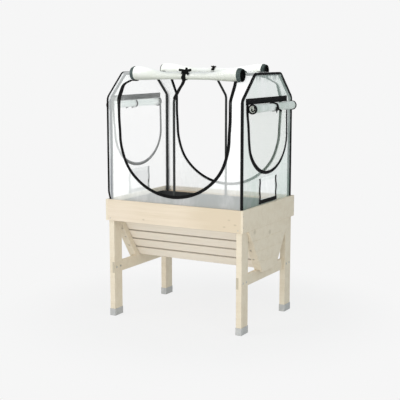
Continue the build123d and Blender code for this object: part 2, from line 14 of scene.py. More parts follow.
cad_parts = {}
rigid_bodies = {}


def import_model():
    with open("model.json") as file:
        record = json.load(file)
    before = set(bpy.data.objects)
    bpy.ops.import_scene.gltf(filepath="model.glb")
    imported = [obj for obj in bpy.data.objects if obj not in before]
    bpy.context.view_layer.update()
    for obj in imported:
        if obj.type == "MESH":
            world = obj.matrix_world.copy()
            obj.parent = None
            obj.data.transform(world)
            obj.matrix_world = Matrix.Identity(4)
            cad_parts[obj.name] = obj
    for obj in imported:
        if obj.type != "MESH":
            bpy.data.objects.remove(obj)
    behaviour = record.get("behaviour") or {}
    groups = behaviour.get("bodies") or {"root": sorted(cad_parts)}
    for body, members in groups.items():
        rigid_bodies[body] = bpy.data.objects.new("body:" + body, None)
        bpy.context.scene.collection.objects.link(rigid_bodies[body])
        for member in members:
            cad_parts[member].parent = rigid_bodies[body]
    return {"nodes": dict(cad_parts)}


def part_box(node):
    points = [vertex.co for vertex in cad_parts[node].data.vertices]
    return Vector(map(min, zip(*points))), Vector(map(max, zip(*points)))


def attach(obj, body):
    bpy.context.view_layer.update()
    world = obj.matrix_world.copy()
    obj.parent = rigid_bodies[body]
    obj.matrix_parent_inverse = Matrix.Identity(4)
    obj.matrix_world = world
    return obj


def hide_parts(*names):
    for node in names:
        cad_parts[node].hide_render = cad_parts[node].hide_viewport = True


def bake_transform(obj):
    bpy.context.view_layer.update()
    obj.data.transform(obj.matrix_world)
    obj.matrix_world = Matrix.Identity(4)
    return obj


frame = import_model()

log = logging.getLogger("planter")

Triple = tuple[float, float, float]
Pair = tuple[float, float]
Finishes = dict[str, bpy.types.Material]

X_WAY = Vector((1, 0, 0))
Y_WAY = Vector((0, 1, 0))
Z_WAY = Vector((0, 0, 1))

# How the slats lie, in metres and radians, as in the solids
SLAT_LEAN = math.atan2(0.200, 0.292)
SLAT_PITCH = 0.078
SLAT_FOOT = 0.3304

# Thickness of the black tape and of the webbing, in metres
TAPE = 0.0012
WEBBING = 0.0014


def smooth(low: float, high: float, value: float) -> float:
    """Smooth step from 0 at low to 1 at high.

    Args:
        low: where it starts.
        high: where it ends.
        value: where it is read.

    Returns:
        The step's value.
    """
    share = min(1.0, max(0.0, (value - low) / (high - low)))
    return share * share * (3 - 2 * share)


def span(low: float, high: float, count: int) -> list[float]:
    """Evenly spaced values with both ends, one more than the count of steps."""
    return [low + (high - low) * i / count for i in range(count + 1)]


def spiral(outer: float, inner: float, turns: float, start: float, steps: int) -> list[Pair]:
    """(sideways, up) points of a winding, outside first.

    Args:
        outer: radius of the outermost turn.
        inner: radius where the winding ends.
        turns: number of turns.
        start: angle of the first point.
        steps: steps along the winding.

    Returns:
        The points.
    """
    points = []
    for wound in span(0.0, 1.0, steps):
        angle = start + 2 * math.pi * turns * wound
        r = outer + (inner - outer) * wound
        points.append((r * math.cos(angle), r * math.sin(angle)))
    return points


def ring(heart: Vector, first: Vector, second: Vector, steps: int) -> list[Vector]:
    """Closed round or oval path.

    Args:
        heart: its middle.
        first: from the middle to its first point.
        second: from the middle to the point a quarter turn on.
        steps: number of points.

    Returns:
        The points.
    """
    angles = span(0.0, 2 * math.pi, steps)[:-1]
    return [heart + first * math.cos(angle) + second * math.sin(angle) for angle in angles]


class Side(Enum):
    """Which of two like pieces is built: as drawn, or turned half a turn about the upright axis."""

    AS_DRAWN = 1
    TURNED = -1

    def place(self, point: Vector) -> Vector:
        """Moves a point of the piece as drawn to its side."""
        return Vector((self.value * point.x, self.value * point.y, point.z))


class Sock:
    """A node socket that takes part in sums, so shader maths reads as plain maths."""

    def __init__(self, graph: "Graph", socket: bpy.types.NodeSocket) -> None:
        """Wraps an output socket of a graph."""
        self.graph = graph
        self.socket = socket

    def math(self, kind: str, *others: "Sock | float") -> "Sock":
        """One maths node with this socket first."""
        values = dict(enumerate([self, *others]))
        return self.graph.output("ShaderNodeMath", 0, {"operation": kind}, values)

    def __add__(self, other: "Sock | float") -> "Sock":
        """Sum."""
        return self.math("ADD", other)

    def __mul__(self, other: "Sock | float") -> "Sock":
        """Product."""
        return self.math("MULTIPLY", other)

    def __sub__(self, other: "Sock | float") -> "Sock":
        """Difference."""
        return self.math("SUBTRACT", other)

    def __rsub__(self, other: float) -> "Sock":
        """Difference from a number."""
        return (self * -1.0) + other

    def __truediv__(self, other: "Sock | float") -> "Sock":
        """Quotient."""
        return self.math("DIVIDE", other)

    __radd__ = __add__
    __rmul__ = __mul__

    def ramp(self, low: float, high: float, to_low: float = 0.0, to_high: float = 1.0) -> "Sock":
        """Smooth step from to_low at low to to_high at high."""
        values = {"Value": self, "From Min": low, "From Max": high, "To Min": to_low, "To Max": to_high}
        return self.graph.output("ShaderNodeMapRange", 0, {"interpolation_type": "SMOOTHSTEP"}, values)


class Graph:
    """Node tree of one material, with its principled shader."""

    def __init__(self, name: str) -> None:
        """Starts a material.

        Args:
            name: name of the material.
        """
        self.material = bpy.data.materials.new(name)
        self.material.use_nodes = True
        self.tree = self.material.node_tree
        self.shader = next(n for n in self.tree.nodes if n.type == "BSDF_PRINCIPLED")

    def node(self, kind: str, props: Optional[dict] = None, inputs: Optional[dict] = None) -> bpy.types.Node:
        """Makes any node.

        Args:
            kind: the node's type.
            props: its settings, which are set first.
            inputs: the values or links of its sockets.

        Returns:
            The node.
        """
        made = self.tree.nodes.new(kind)
        for key, value in (props or {}).items():
            setattr(made, key, value)
        for key, value in (inputs or {}).items():
            self.feed(made.inputs[key], value)
        return made

    def feed(self, socket: bpy.types.NodeSocket, value: object) -> None:
        """Links a socket, or sets it where the value is constant.

        Args:
            socket: the input socket.
            value: a Sock, or a constant.
        """
        if isinstance(value, Sock):
            self.tree.links.new(value.socket, socket)
        else:
            socket.default_value = value

    def output(
        self, kind: str, name: "str | int", props: Optional[dict] = None, inputs: Optional[dict] = None
    ) -> Sock:
        """One output of a new node."""
        return Sock(self, self.node(kind, props, inputs).outputs[name])

    def coords(self, scale: Triple = (1, 1, 1), turn: Triple = (0, 0, 0), source: str = "Object") -> Sock:
        """Object or UV coordinates, turned and scaled."""
        values = {"Vector": self.output("ShaderNodeTexCoord", source), "Scale": scale, "Rotation": turn}
        return self.output("ShaderNodeMapping", "Vector", None, values)

    def split(self, vector: Sock) -> tuple[Sock, Sock, Sock]:
        """The three parts of a vector."""
        made = self.node("ShaderNodeSeparateXYZ", None, {"Vector": vector})
        return tuple(Sock(self, made.outputs[i]) for i in range(3))

    def noise(self, vector: Sock, scale: float, detail: float = 3.0, rough: float = 0.5) -> Sock:
        """Noise factor."""
        values = {"Vector": vector, "Scale": scale, "Detail": detail, "Roughness": rough}
        return self.output("ShaderNodeTexNoise", 0, None, values)

    def blend(self, factor: Sock, low: "Triple | Sock", high: "Triple | Sock") -> Sock:
        """Colour between two by a factor."""
        first, second = (c if isinstance(c, Sock) else (*c, 1.0) for c in (low, high))
        return self.output("ShaderNodeMix", 2, {"data_type": "RGBA"}, {0: factor, 6: first, 7: second})

    def bump(self, height: Sock, strength: float, depth: float) -> None:
        """Bump into the shader's normal."""
        values = {"Height": height, "Strength": strength, "Distance": depth}
        self.feed(self.shader.inputs["Normal"], self.output("ShaderNodeBump", "Normal", None, values))

    def surface(self, **values: object) -> None:
        """Feeds the shader's own inputs; underscores stand for spaces."""
        for key, value in values.items():
            self.feed(self.shader.inputs[key.replace("_", " ").title().replace("Ior", "IOR")], value)


@dataclass(frozen=True)
class Timber:
    """Cream-stained softwood with grain along X before the turn. Laps carry a band of painted shade where one
    slat stands over the next, and a board can carry painted shade that darkens it towards its right end."""

    name: str
    turn: Triple = (0.0, 0.0, 0.0)
    pale: Triple = (0.80, 0.715, 0.575)
    deep: Triple = (0.70, 0.60, 0.455)
    knots: tuple[Triple, ...] = ()
    spread: Triple = (0.2, 0.5, 0.6)
    end_grain: float = 0.0
    lap_shade: bool = False
    right_end_shade: float = 0.0
    lap_shade_tone: Triple = (0.29, 0.245, 0.19)
    knot_tone: Triple = (0.34, 0.28, 0.17)
    cut_tone: Triple = (0.46, 0.41, 0.31)

    def build(self) -> bpy.types.Material:
        """Builds the finish.

        Returns:
            The material.
        """
        g = Graph(self.name)
        where = g.coords()
        warp = g.noise(g.coords((1.2, 26.0, 26.0), self.turn), 1.0, 4.0, 0.6)
        lines = g.noise(g.coords((6.0, 170.0, 170.0), self.turn), 1.0, 2.0, 0.5)
        blotch = g.noise(where, 3.0, 2.0)
        tone = warp.ramp(0.35, 0.72) * 0.45 + lines.ramp(0.45, 0.8) * 0.3 + blotch.ramp(0.3, 0.8) * 0.25
        x, y, z = g.split(where)
        # Painted shade: the board darkens towards its right end, away from the light.
        if self.right_end_shade:
            tone = tone + x.ramp(-0.05, 0.40) * self.right_end_shade
        colour = g.blend(tone, self.pale, self.deep)
        # Painted shade: a dark band along each lap, where one slat stands over the next.
        if self.lap_shade:
            climb = y.math("ABSOLUTE") * math.sin(SLAT_LEAN) + z * math.cos(SLAT_LEAN) - SLAT_FOOT
            place = (climb / SLAT_PITCH).math("FRACT")
            lap = place.ramp(0.875, 0.925) + place.ramp(0.0, 0.03, 1.0, 0.0)
            colour = g.blend(lap * 0.52, colour, self.lap_shade_tone)
        spread = g.coords(self.spread)
        for knot in self.knots:
            values = {0: spread, 1: tuple(a * b for a, b in zip(knot, self.spread))}
            away = g.output("ShaderNodeVectorMath", "Value", {"operation": "DISTANCE"}, values)
            spot = (away + (warp - 0.5) * 0.008).ramp(0.002, 0.013, 1.0, 0.0)
            colour = g.blend(spot * 0.38, colour, self.knot_tone)
        if self.end_grain:
            cut = y.math("ABSOLUTE").ramp(self.end_grain - 0.0006, self.end_grain - 0.0002)
            colour = g.blend(cut * 0.75, colour, self.cut_tone)
        g.surface(base_color=colour, roughness=lines.ramp(0.2, 0.9, 0.5, 0.72), specular_ior_level=0.35)
        g.bump(warp * 0.4 + lines, 0.25, 0.0006)
        return g.material


@dataclass(frozen=True)
class Moulded:
    """Moulded or coated surface with a fine grain."""

    name: str
    colour: Triple
    worn: Triple
    rough: Pair = (0.4, 0.6)
    metal: float = 0.0
    grain: float = 900.0
    depth: float = 0.0002

    def build(self) -> bpy.types.Material:
        """Builds the finish.

        Returns:
            The material.
        """
        g = Graph(self.name)
        where = g.coords()
        patch = g.noise(where, 22.0, 3.0, 0.6)
        colour = g.blend(patch.ramp(0.4, 0.75), self.colour, self.worn)
        g.surface(base_color=colour, roughness=patch.ramp(0.3, 0.8, *self.rough), metallic=self.metal)
        g.bump(g.noise(where, self.grain, 2.0), 0.3, self.depth)
        return g.material


@dataclass(frozen=True)
class Woven:
    """Woven tape, webbing or felt; its threads follow the piece's own UV in metres."""

    name: str
    colour: Triple
    light: Triple
    pitch: float = 0.0016
    depth: float = 0.0004
    stitch: float = 0.0
    stitch_pitch: float = 0.006
    stitch_tone: Triple = (0.06, 0.06, 0.06)
    rough: Pair = (0.62, 0.85)

    def build(self) -> bpy.types.Material:
        """Builds the finish.

        Returns:
            The material.
        """
        g = Graph(self.name)
        u, v, _ = g.split(g.coords(source="UV"))
        turn = 2 * math.pi / self.pitch
        threads = ((u * turn).math("SINE") * (v * turn).math("SINE")) * 0.5 + 0.5
        dust = g.noise(g.coords(), 35.0, 3.0, 0.6)
        colour = g.blend(threads * 0.5 + dust.ramp(0.35, 0.8) * 0.5, self.colour, self.light)
        height = threads
        if self.stitch:
            dash = (u * (2 * math.pi / self.stitch_pitch)).math("SINE").ramp(-0.2, 0.3)
            seam = (v.math("ABSOLUTE") - self.stitch).math("ABSOLUTE").ramp(0.0004, 0.0009, 1.0, 0.0)
            colour = g.blend(seam * dash * 0.3, colour, self.stitch_tone)
            height = threads - seam * dash * 1.5
        g.surface(base_color=colour, roughness=dust.ramp(0.2, 0.8, *self.rough), specular_ior_level=0.12)
        g.bump(height, 0.5, self.depth)
        return g.material


@dataclass(frozen=True)
class Film:
    """Soft clear film, milky, glossy and lightly creased; any glow is painted light, lifting the film without
    a lamp. Gathered film has upright streaks under the ridge, painted shade in its folds where the film lies
    doubled; film with painted shade and glow darkens downwards and has a painted glow on its top; and a
    sleeve is a doubled grey band up one corner."""

    name: str
    colour: Triple = (0.93, 0.96, 0.945)
    veil: Pair = (0.30, 0.48)
    rough: Pair = (0.12, 0.3)
    glow: float = 0.0
    gathered: bool = False
    painted_shade_and_glow: bool = False
    sleeve: float = 0.0
    fold_heights: Pair = (1.530, 1.580)
    fold_shade_tone: Triple = (0.26, 0.31, 0.29)
    shade_heights: Pair = (1.552, 1.606)
    painted_shade_tone: Triple = (0.58, 0.60, 0.53)
    painted_glow_heights: Pair = (1.590, 1.630)
    sleeve_heights: Pair = (1.42, 1.46)
    sleeve_tone: Triple = (0.22, 0.23, 0.25)
    white: Triple = (1.0, 1.0, 1.0)
    dim: Triple = (0.08, 0.08, 0.08)

    def build(self) -> bpy.types.Material:
        """Builds the finish.

        Returns:
            The material.
        """
        g = Graph(self.name)
        where = g.coords()
        x, _, z = g.split(where)
        crease = g.noise(g.coords((9.0, 9.0, 4.0)), 1.0, 4.0, 0.65)
        cloud = g.noise(where, 2.2, 2.0)
        veil = (crease.ramp(0.35, 0.75) * 0.5 + cloud.ramp(0.3, 0.75) * 0.5).ramp(0.0, 1.0, *self.veil)
        colour = g.blend(crease.ramp(0.3, 0.8), self.colour, self.white)
        height = crease
        lit = colour
        if self.gathered:
            folds = g.noise(g.coords((30.0, 30.0, 3.0)), 1.0, 1.0)
            near = z.ramp(*self.fold_heights) * folds.ramp(0.47, 0.56)
            # Painted shade darkens the folds under the ridge; the thicker veil is the doubled film.
            colour = g.blend(near * 0.9, colour, self.fold_shade_tone)
            veil = (veil + near * 0.35).math("MINIMUM", 0.95)
            height = crease + near * 0.6
        if self.painted_shade_and_glow:
            # Painted shade darkens the film downwards, and a painted glow lights only its top.
            colour = g.blend(z.ramp(*self.shade_heights), self.painted_shade_tone, colour)
            lit = g.blend(z.ramp(*self.painted_glow_heights), self.dim, self.white)
        if self.sleeve:
            band = (x - self.sleeve).math("ABSOLUTE").ramp(0.007, 0.017, 1.0, 0.0)
            band = band * z.ramp(*self.sleeve_heights, 1.0, 0.35) * crease.ramp(0.25, 0.75, 0.5, 1.0)
            colour = g.blend(band, colour, self.sleeve_tone)
            veil = (veil + band * 0.3).math("MINIMUM", 0.95)
            lit = colour
        g.surface(base_color=colour, alpha=veil, roughness=crease.ramp(0.2, 0.8, *self.rough))
        # Painted light: the glow lifts the film without a lamp.
        g.surface(coat_weight=0.2, emission_color=lit, emission_strength=self.glow)
        g.bump(height, 0.25, 0.003)
        return g.material


@dataclass(frozen=True)
class Netting:
    """Fine insect mesh with see-through holes, on the piece's own UV in metres."""

    name: str
    colour: Triple
    light: Triple
    cover: float = 0.7
    glow: float = 0.0
    pitch: float = 0.0022

    def build(self) -> bpy.types.Material:
        """Builds the finish.

        Returns:
            The material.
        """
        g = Graph(self.name)
        u, v, _ = g.split(g.coords(source="UV"))
        turn = math.pi / self.pitch
        across, down = ((way * turn).math("SINE").math("ABSOLUTE") for way in (u, v))
        thread = across.math("MINIMUM", down).ramp(0.12, 0.3, 1.0, 0.0)
        dust = g.noise(g.coords(), 14.0, 3.0)
        colour = g.blend(dust.ramp(0.3, 0.8), self.colour, self.light)
        haze = dust.ramp(0.3, 0.8, 0.12 * self.cover, 0.23 * self.cover)
        g.surface(base_color=colour, alpha=thread * self.cover + haze, roughness=0.6)
        # Painted light: the glow lifts the net without a lamp.
        g.surface(emission_color=colour, emission_strength=self.glow)
        g.bump(thread, 0.3, 0.0003)
        return g.material


@dataclass(frozen=True)
class Floor:
    """Pale floor, which the camera sees in the background's tone with a little of the shadow."""

    name: str
    colour: Triple
    glow: float
    shadow: float

    def build(self) -> bpy.types.Material:
        """Builds the finish.

        Returns:
            The material.
        """
        g = Graph(self.name)
        where = g.coords()
        low = tuple(c * 0.985 for c in self.colour)
        shade = g.blend(g.noise(where, 0.7, 2.0), self.colour, low)
        g.surface(base_color=shade, roughness=0.9, specular_ior_level=0.0)
        away = g.output("ShaderNodeVectorMath", "Value", {"operation": "LENGTH"}, {0: where})
        seen = g.output("ShaderNodeLightPath", "Is Camera Ray")
        plain = g.output("ShaderNodeEmission", 0, None, {"Color": (self.glow, self.glow, self.glow, 1.0)})
        share = seen * (1.0 - away.ramp(0.7, 1.5, self.shadow, 0.0))
        lit = Sock(g, g.shader.outputs[0])
        mixed = g.output("ShaderNodeMixShader", 0, None, {0: share, 1: lit, 2: plain})
        end = next(n for n in g.tree.nodes if n.type == "OUTPUT_MATERIAL")
        g.feed(end.inputs["Surface"], mixed)
        return g.material


def make_finishes() -> Finishes:
    """Builds every finish of the object.

    Returns:
        The materials by name.
    """
    quarter = math.pi / 2
    dull = (0.3, 0.45)
    board = -0.38
    front_knots = ((0.405, board, 0.717), (0.372, board, 0.672), (0.446, board, 0.690), (-0.21, board, 0.668))
    end_knots = ((0.5, -0.218, 0.626), (0.5, 0.0, 0.592), (-0.5, 0.12, 0.60), (-0.5, -0.10, 0.47))
    finishes = (
        Timber(
            "timber_along", pale=(0.80, 0.69, 0.56), deep=(0.69, 0.58, 0.435),
            # Painted shade that darkens the skirt and base boards towards their right end.
            knots=front_knots, spread=(0.9, 0.5, 1.7), right_end_shade=0.9,
        ),
        Timber("timber_across", (0, 0, quarter), knots=end_knots),
        Timber("timber_upright", (0, quarter, 0)),
        # Paler copy of the timber for the slats: painted light, lifting them where the skirt shades them;
        # their laps carry painted shade.
        Timber("timber_slat_painted_light", pale=(0.90, 0.82, 0.71), deep=(0.83, 0.74, 0.62), lap_shade=True),
        Timber("timber_rail", (0, 0, quarter), end_grain=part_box("rail_right")[1][1]),
        Timber("timber_slope", (0, quarter, SLAT_LEAN)),
        Moulded("foot_plastic", (0.49, 0.49, 0.485), (0.57, 0.57, 0.56), (0.45, 0.62)),
        Moulded("zinc_steel", (0.50, 0.48, 0.43), (0.66, 0.64, 0.58), metal=0.25),
        Moulded("black_plastic", (0.03, 0.033, 0.03), (0.06, 0.062, 0.06)),
        Moulded("coated_tube", (0.006, 0.008, 0.007), (0.018, 0.021, 0.020), (0.45, 0.6)),
        Moulded("slider_black", (0.02, 0.02, 0.02), (0.05, 0.05, 0.05), (0.25, 0.45), 0.6),
        Woven("liner_felt", (0.035, 0.035, 0.037), (0.075, 0.075, 0.075), 0.004, 0.0008),
        Woven("wound_zip", (0.03, 0.045, 0.042), (0.16, 0.20, 0.19)),
        Woven("black_tape", (0.003, 0.003, 0.003), (0.008, 0.008, 0.009), stitch=0.006),
        Woven("zip_coil", (0.002, 0.002, 0.002), (0.010, 0.010, 0.010), 0.0024, 0.0009),
        Woven("webbing", (0.003, 0.003, 0.003), (0.008, 0.008, 0.008), 0.002, 0.0006),
        # Painted light: where a film glows, the glow lifts it without a lamp.
        Film("clear_film", veil=(0.34, 0.48), glow=0.25, sleeve=-0.470),
        # Painted light: the far film, far window film and far net are brighter, glowing copies that stand in
        # for light through the near film.
        Film("far_film_painted_glow", (0.97, 1.0, 0.98), (0.16, 0.26), glow=0.40),
        Film("end_film", (0.62, 0.80, 0.70), (0.40, 0.54), gathered=True),
        # The rolled film carries painted shade below and a painted glow on its top.
        Film("rolled_film", (0.86, 0.88, 0.81), (0.94, 0.99), dull, 0.35, painted_shade_and_glow=True),
        Film("rolled_window_film", (0.64, 0.72, 0.66), (0.92, 0.98), dull, 0.04),
        Film("far_window_film_painted_glow", (0.88, 0.92, 0.90), (0.6, 0.7), dull, 0.16),
        Netting("window_net", (0.50, 0.62, 0.50), (0.70, 0.80, 0.71)),
        Netting("far_net_painted_glow", (0.95, 0.97, 0.96), (1.0, 1.0, 1.0), 0.35, 0.5),
    )
    return {finish.name: finish.build() for finish in finishes}


class Piece:
    """Mesh under construction: grids and ribbons with UV in metres, in one object."""

    def __init__(self, name: str, *materials: bpy.types.Material, side: Side = Side.AS_DRAWN) -> None:
        """Starts an empty piece.

        Args:
            name: name of the object.
            materials: its materials, in the order of their indices.
            side: side that its points are moved to.
        """
        self.name = name
        self.materials = materials
        self.side = side
        self.mesh = bmesh.new()
        self.uv = self.mesh.loops.layers.uv.new("UVMap")

    def grid(
        self,
        rows: Sequence[Sequence[Vector]],
        uvs: "Sequence[Sequence[Pair]] | Callable[[Vector], Pair]",
        loop: bool = False,
        material: Callable[[int, int], int] = lambda i, j: 0,
    ) -> "Piece":
        """Adds a sheet of quads.

        Args:
            rows: points, row by row.
            uvs: a UV pair for each point, or what gives it.
            loop: whether each row closes on itself.
            material: material index of the face at (row, column).

        Returns:
            This piece.
        """
        if callable(uvs):
            uvs = [[uvs(point) for point in row] for row in rows]
        made = [[self.mesh.verts.new(self.side.place(p)) for p in row] for row in rows]
        count = len(made[0])
        for i in range(len(made) - 1):
            for j in range(count if loop else count - 1):
                k = (j + 1) % count
                spots = ((i, j), (i + 1, j), (i + 1, k), (i, k))
                face = self.mesh.faces.new([made[a][b] for a, b in spots])
                face.smooth = True
                face.material_index = material(i, j)
                for corner, (a, b) in zip(face.loops, spots):
                    corner[self.uv].uv = uvs[a][b]
        return self

    def between(
        self,
        inner: Sequence[Pair],
        outer: Sequence[Pair],
        steps: int,
        place: Callable[[float, float], Vector],
        loop: bool = False,
    ) -> "Piece":
        """Adds a sheet between two flat outlines with as many points.

        Args:
            inner: outline that it starts from.
            outer: outline that it ends on.
            steps: steps from one to the other.
            place: where a flat point lies in space.
            loop: whether the outlines are closed.

        Returns:
            This piece.
        """
        flat = []
        for share in span(0.0, 1.0, steps):
            row = [(a[0] + (b[0] - a[0]) * share, a[1] + (b[1] - a[1]) * share) for a, b in zip(inner, outer)]
            flat.append(row)
        return self.grid([[place(*point) for point in row] for row in flat], flat, loop)

    def ribbon(
        self,
        path: Sequence[Vector],
        across: "Vector | Sequence[Vector]",
        width: float,
        thick: float,
        closed: bool = False,
        material: int = 0,
    ) -> "Piece":
        """Adds a flat strip with eased edges along a path.

        Args:
            path: points along the strip's middle.
            across: unit vector over the strip's width, one for all points or one for each.
            width: width of the strip.
            thick: thickness of the strip.
            closed: whether the strip joins its own start.
            material: material index.

        Returns:
            This piece.
        """
        ease = min(thick, width) * 0.3
        a, b = width / 2, thick / 2
        section = [
            (-a + ease, -b), (a - ease, -b), (a, -b + ease), (a, b - ease),
            (a - ease, b), (-a + ease, b), (-a, b - ease), (-a, -b + ease),
        ]
        count = len(path)
        rows, uvs, run = [], [], 0.0
        for i in range(count + (1 if closed else 0)):
            here = path[i % count]
            ahead = path[(i + 1) % count] if closed else path[min(i + 1, count - 1)]
            behind = path[(i - 1) % count] if closed else path[max(i - 1, 0)]
            over = across if isinstance(across, Vector) else across[i % count]
            up = (ahead - behind).normalized().cross(over).normalized()
            if i:
                run += (here - path[(i - 1) % count]).length
            rows.append([here + over * s + up * t for s, t in section])
            uvs.append([(run, s) for s, t in section])
        self.grid(rows, uvs, loop=True, material=lambda i, j: material)
        if not closed:
            for row in (rows[0], rows[-1][::-1]):
                points = [self.mesh.verts.new(self.side.place(p)) for p in row]
                self.mesh.faces.new(points).material_index = material
        return self

    def build(self) -> bpy.types.Object:
        """Turns the piece into an object of the scene.

        Returns:
            The object.
        """
        bmesh.ops.remove_doubles(self.mesh, verts=self.mesh.verts, dist=1e-6)
        bmesh.ops.recalc_face_normals(self.mesh, faces=self.mesh.faces[:])
        data = bpy.data.meshes.new(self.name)
        self.mesh.to_mesh(data)
        self.mesh.free()
        for material in self.materials:
            data.materials.append(material)
        made = bpy.data.objects.new(self.name, data)
        bpy.context.scene.collection.objects.link(made)
        return made

    def settle(self, body: str, slot: str, *nodes: str) -> bpy.types.Object:
        """Builds the piece, rides it on its body and hides the nodes that it stands for.

        Args:
            body: body that it moves with.
            slot: not used.
            nodes: nodes that it replaces.

        Returns:
            The object.
        """
        made = self.build()
        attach(made, body)
        if nodes:
            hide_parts(*nodes)
        return made


@dataclass(frozen=True)
class Arch:
    """Open U: its half width, the height of its ends, where its curve starts and how deep that is."""

    half: float
    top: float
    arc_top: float
    drop: float

    @property
    def area(self) -> float:
        """Area inside the U."""
        return 2 * self.half * (self.top - self.arc_top) + math.pi / 2 * self.half * self.drop

    @property
    def size(self) -> Pair:
        """Width and height of the U."""
        return 2 * self.half, self.top - self.arc_top + self.drop

    def outline(self, grow: float, steps: int) -> list[Pair]:
        """Points from the upper left corner round below to the upper right corner.

        Args:
            grow: offset outwards.
            steps: steps on the curve, and half as many on each side.

        Returns:
            (across, height) points.
        """
        half, drop = self.half + grow, self.drop + grow
        left = [(-half, z) for z in span(self.top, self.arc_top, steps // 2)[:-1]]
        angles = span(math.pi, 2 * math.pi, steps)
        curve = [(half * math.cos(angle), self.arc_top + drop * math.sin(angle)) for angle in angles]
        return left + curve + [(-x, z) for x, z in left[::-1]]


@dataclass(frozen=True)
class Shell:
    """The cover's outline in metres, as in the solids, and points on it."""

    reach: float = 0.482  # half length
    depth: float = 0.358  # half width
    hem: float = 0.754
    shoulder: float = 1.436
    ridge: float = 1.597
    ridge_half: float = 0.182  # half width of the flat ridge
    ease: float = 0.02  # length over which a corner is eased
    rim: float = 0.780  # top of the planter
    loose: float = 0.012  # slack of the front left edge
    skin: float = 0.0006  # film off the tubes
    ripple: float = 0.0022  # depth of the film's ripples

    @property
    def wall(self) -> float:
        """Height of the upright wall."""
        return self.shoulder - self.hem

    @property
    def slope(self) -> float:
        """Length of the slope from the shoulder to the ridge."""
        return math.hypot(self.depth - self.ridge_half, self.ridge - self.shoulder)

    @property
    def ridge_t(self) -> float:
        """Distance from the hem up to the edge of the ridge."""
        return self.wall + self.slope

    @property
    def tilt(self) -> Pair:
        """(y, z) of a unit step up the slope."""
        return (self.depth - self.ridge_half) / self.slope, (self.ridge - self.shoulder) / self.slope

    def point(self, t: float) -> Pair:
        """(y, z) of the front outline at a distance up from the hem.

        Args:
            t: distance along wall, slope and ridge.

        Returns:
            The point, with eased corners.
        """
        shoulder, ridge = (-self.depth, self.shoulder), (-self.ridge_half, self.ridge)
        for heart, corner in ((self.wall, shoulder), (self.ridge_t, ridge)):
            if abs(t - heart) < self.ease:
                q = (t - heart + self.ease) / (2 * self.ease)
                stops = (self.point(heart - self.ease), corner, self.point(heart + self.ease))
                weights = ((1 - q) ** 2, 2 * q * (1 - q), q * q)
                return tuple(sum(w * p[i] for w, p in zip(weights, stops)) for i in range(2))
        if t <= self.wall:
            return -self.depth, self.hem + t
        if t <= self.ridge_t:
            share = (t - self.wall) / self.slope
            return tuple(a + share * (b - a) for a, b in zip(shoulder, ridge))
        return t - self.ridge_t - self.ridge_half, self.ridge

    def normal(self, t: float) -> Pair:
        """Outward direction of the front outline.

        Args:
            t: distance up from the hem.

        Returns:
            (y, z) of a unit vector.
        """
        low, high = Vector(self.point(t - 0.004)), Vector(self.point(t + 0.004))
        along = (high - low).normalized()
        return -along.y, along.x

    def off(self, t: float, out: float) -> Pair:
        """(y, z) of a point out from the front outline at a distance up from the hem."""
        (y, z), (ny, nz) = self.point(t), self.normal(t)
        return y + ny * out, z + nz * out

    def slack(self, side: Side, point: Vector, edge: float = 1.0) -> Vector:
        """Moves a point of the film or its binding outwards where the front left edge hangs loose.

        Args:
            side: side that is built.
            point: a point as drawn, near the cover's surface.
            edge: share of the move, 1 on the edge itself.

        Returns:
            The moved point, still as drawn.
        """
        left = smooth(0.41, self.reach, -side.value * point.x)
        front = smooth(-0.20, 0.15, -side.value * point.y)
        shift = self.loose * left * front * edge * smooth(self.rim - 0.004, self.rim + 0.05, point.z)
        return Vector((point.x - side.value * shift, point.y, point.z))


@dataclass(frozen=True)
class CoverPart:
    """What the doors and the ends of the cover share."""

    finishes: Finishes
    shell: Shell
    name: str
    side: Side

    @property
    def near(self) -> bool:
        """Whether this is the front or the right end."""
        return self.side is Side.AS_DRAWN

    def piece(self, label: str, *finishes: str) -> Piece:
        """Starts a piece of this part with the named finishes."""
        return Piece(f"{self.name}_{label}", *(self.finishes[finish] for finish in finishes), side=self.side)


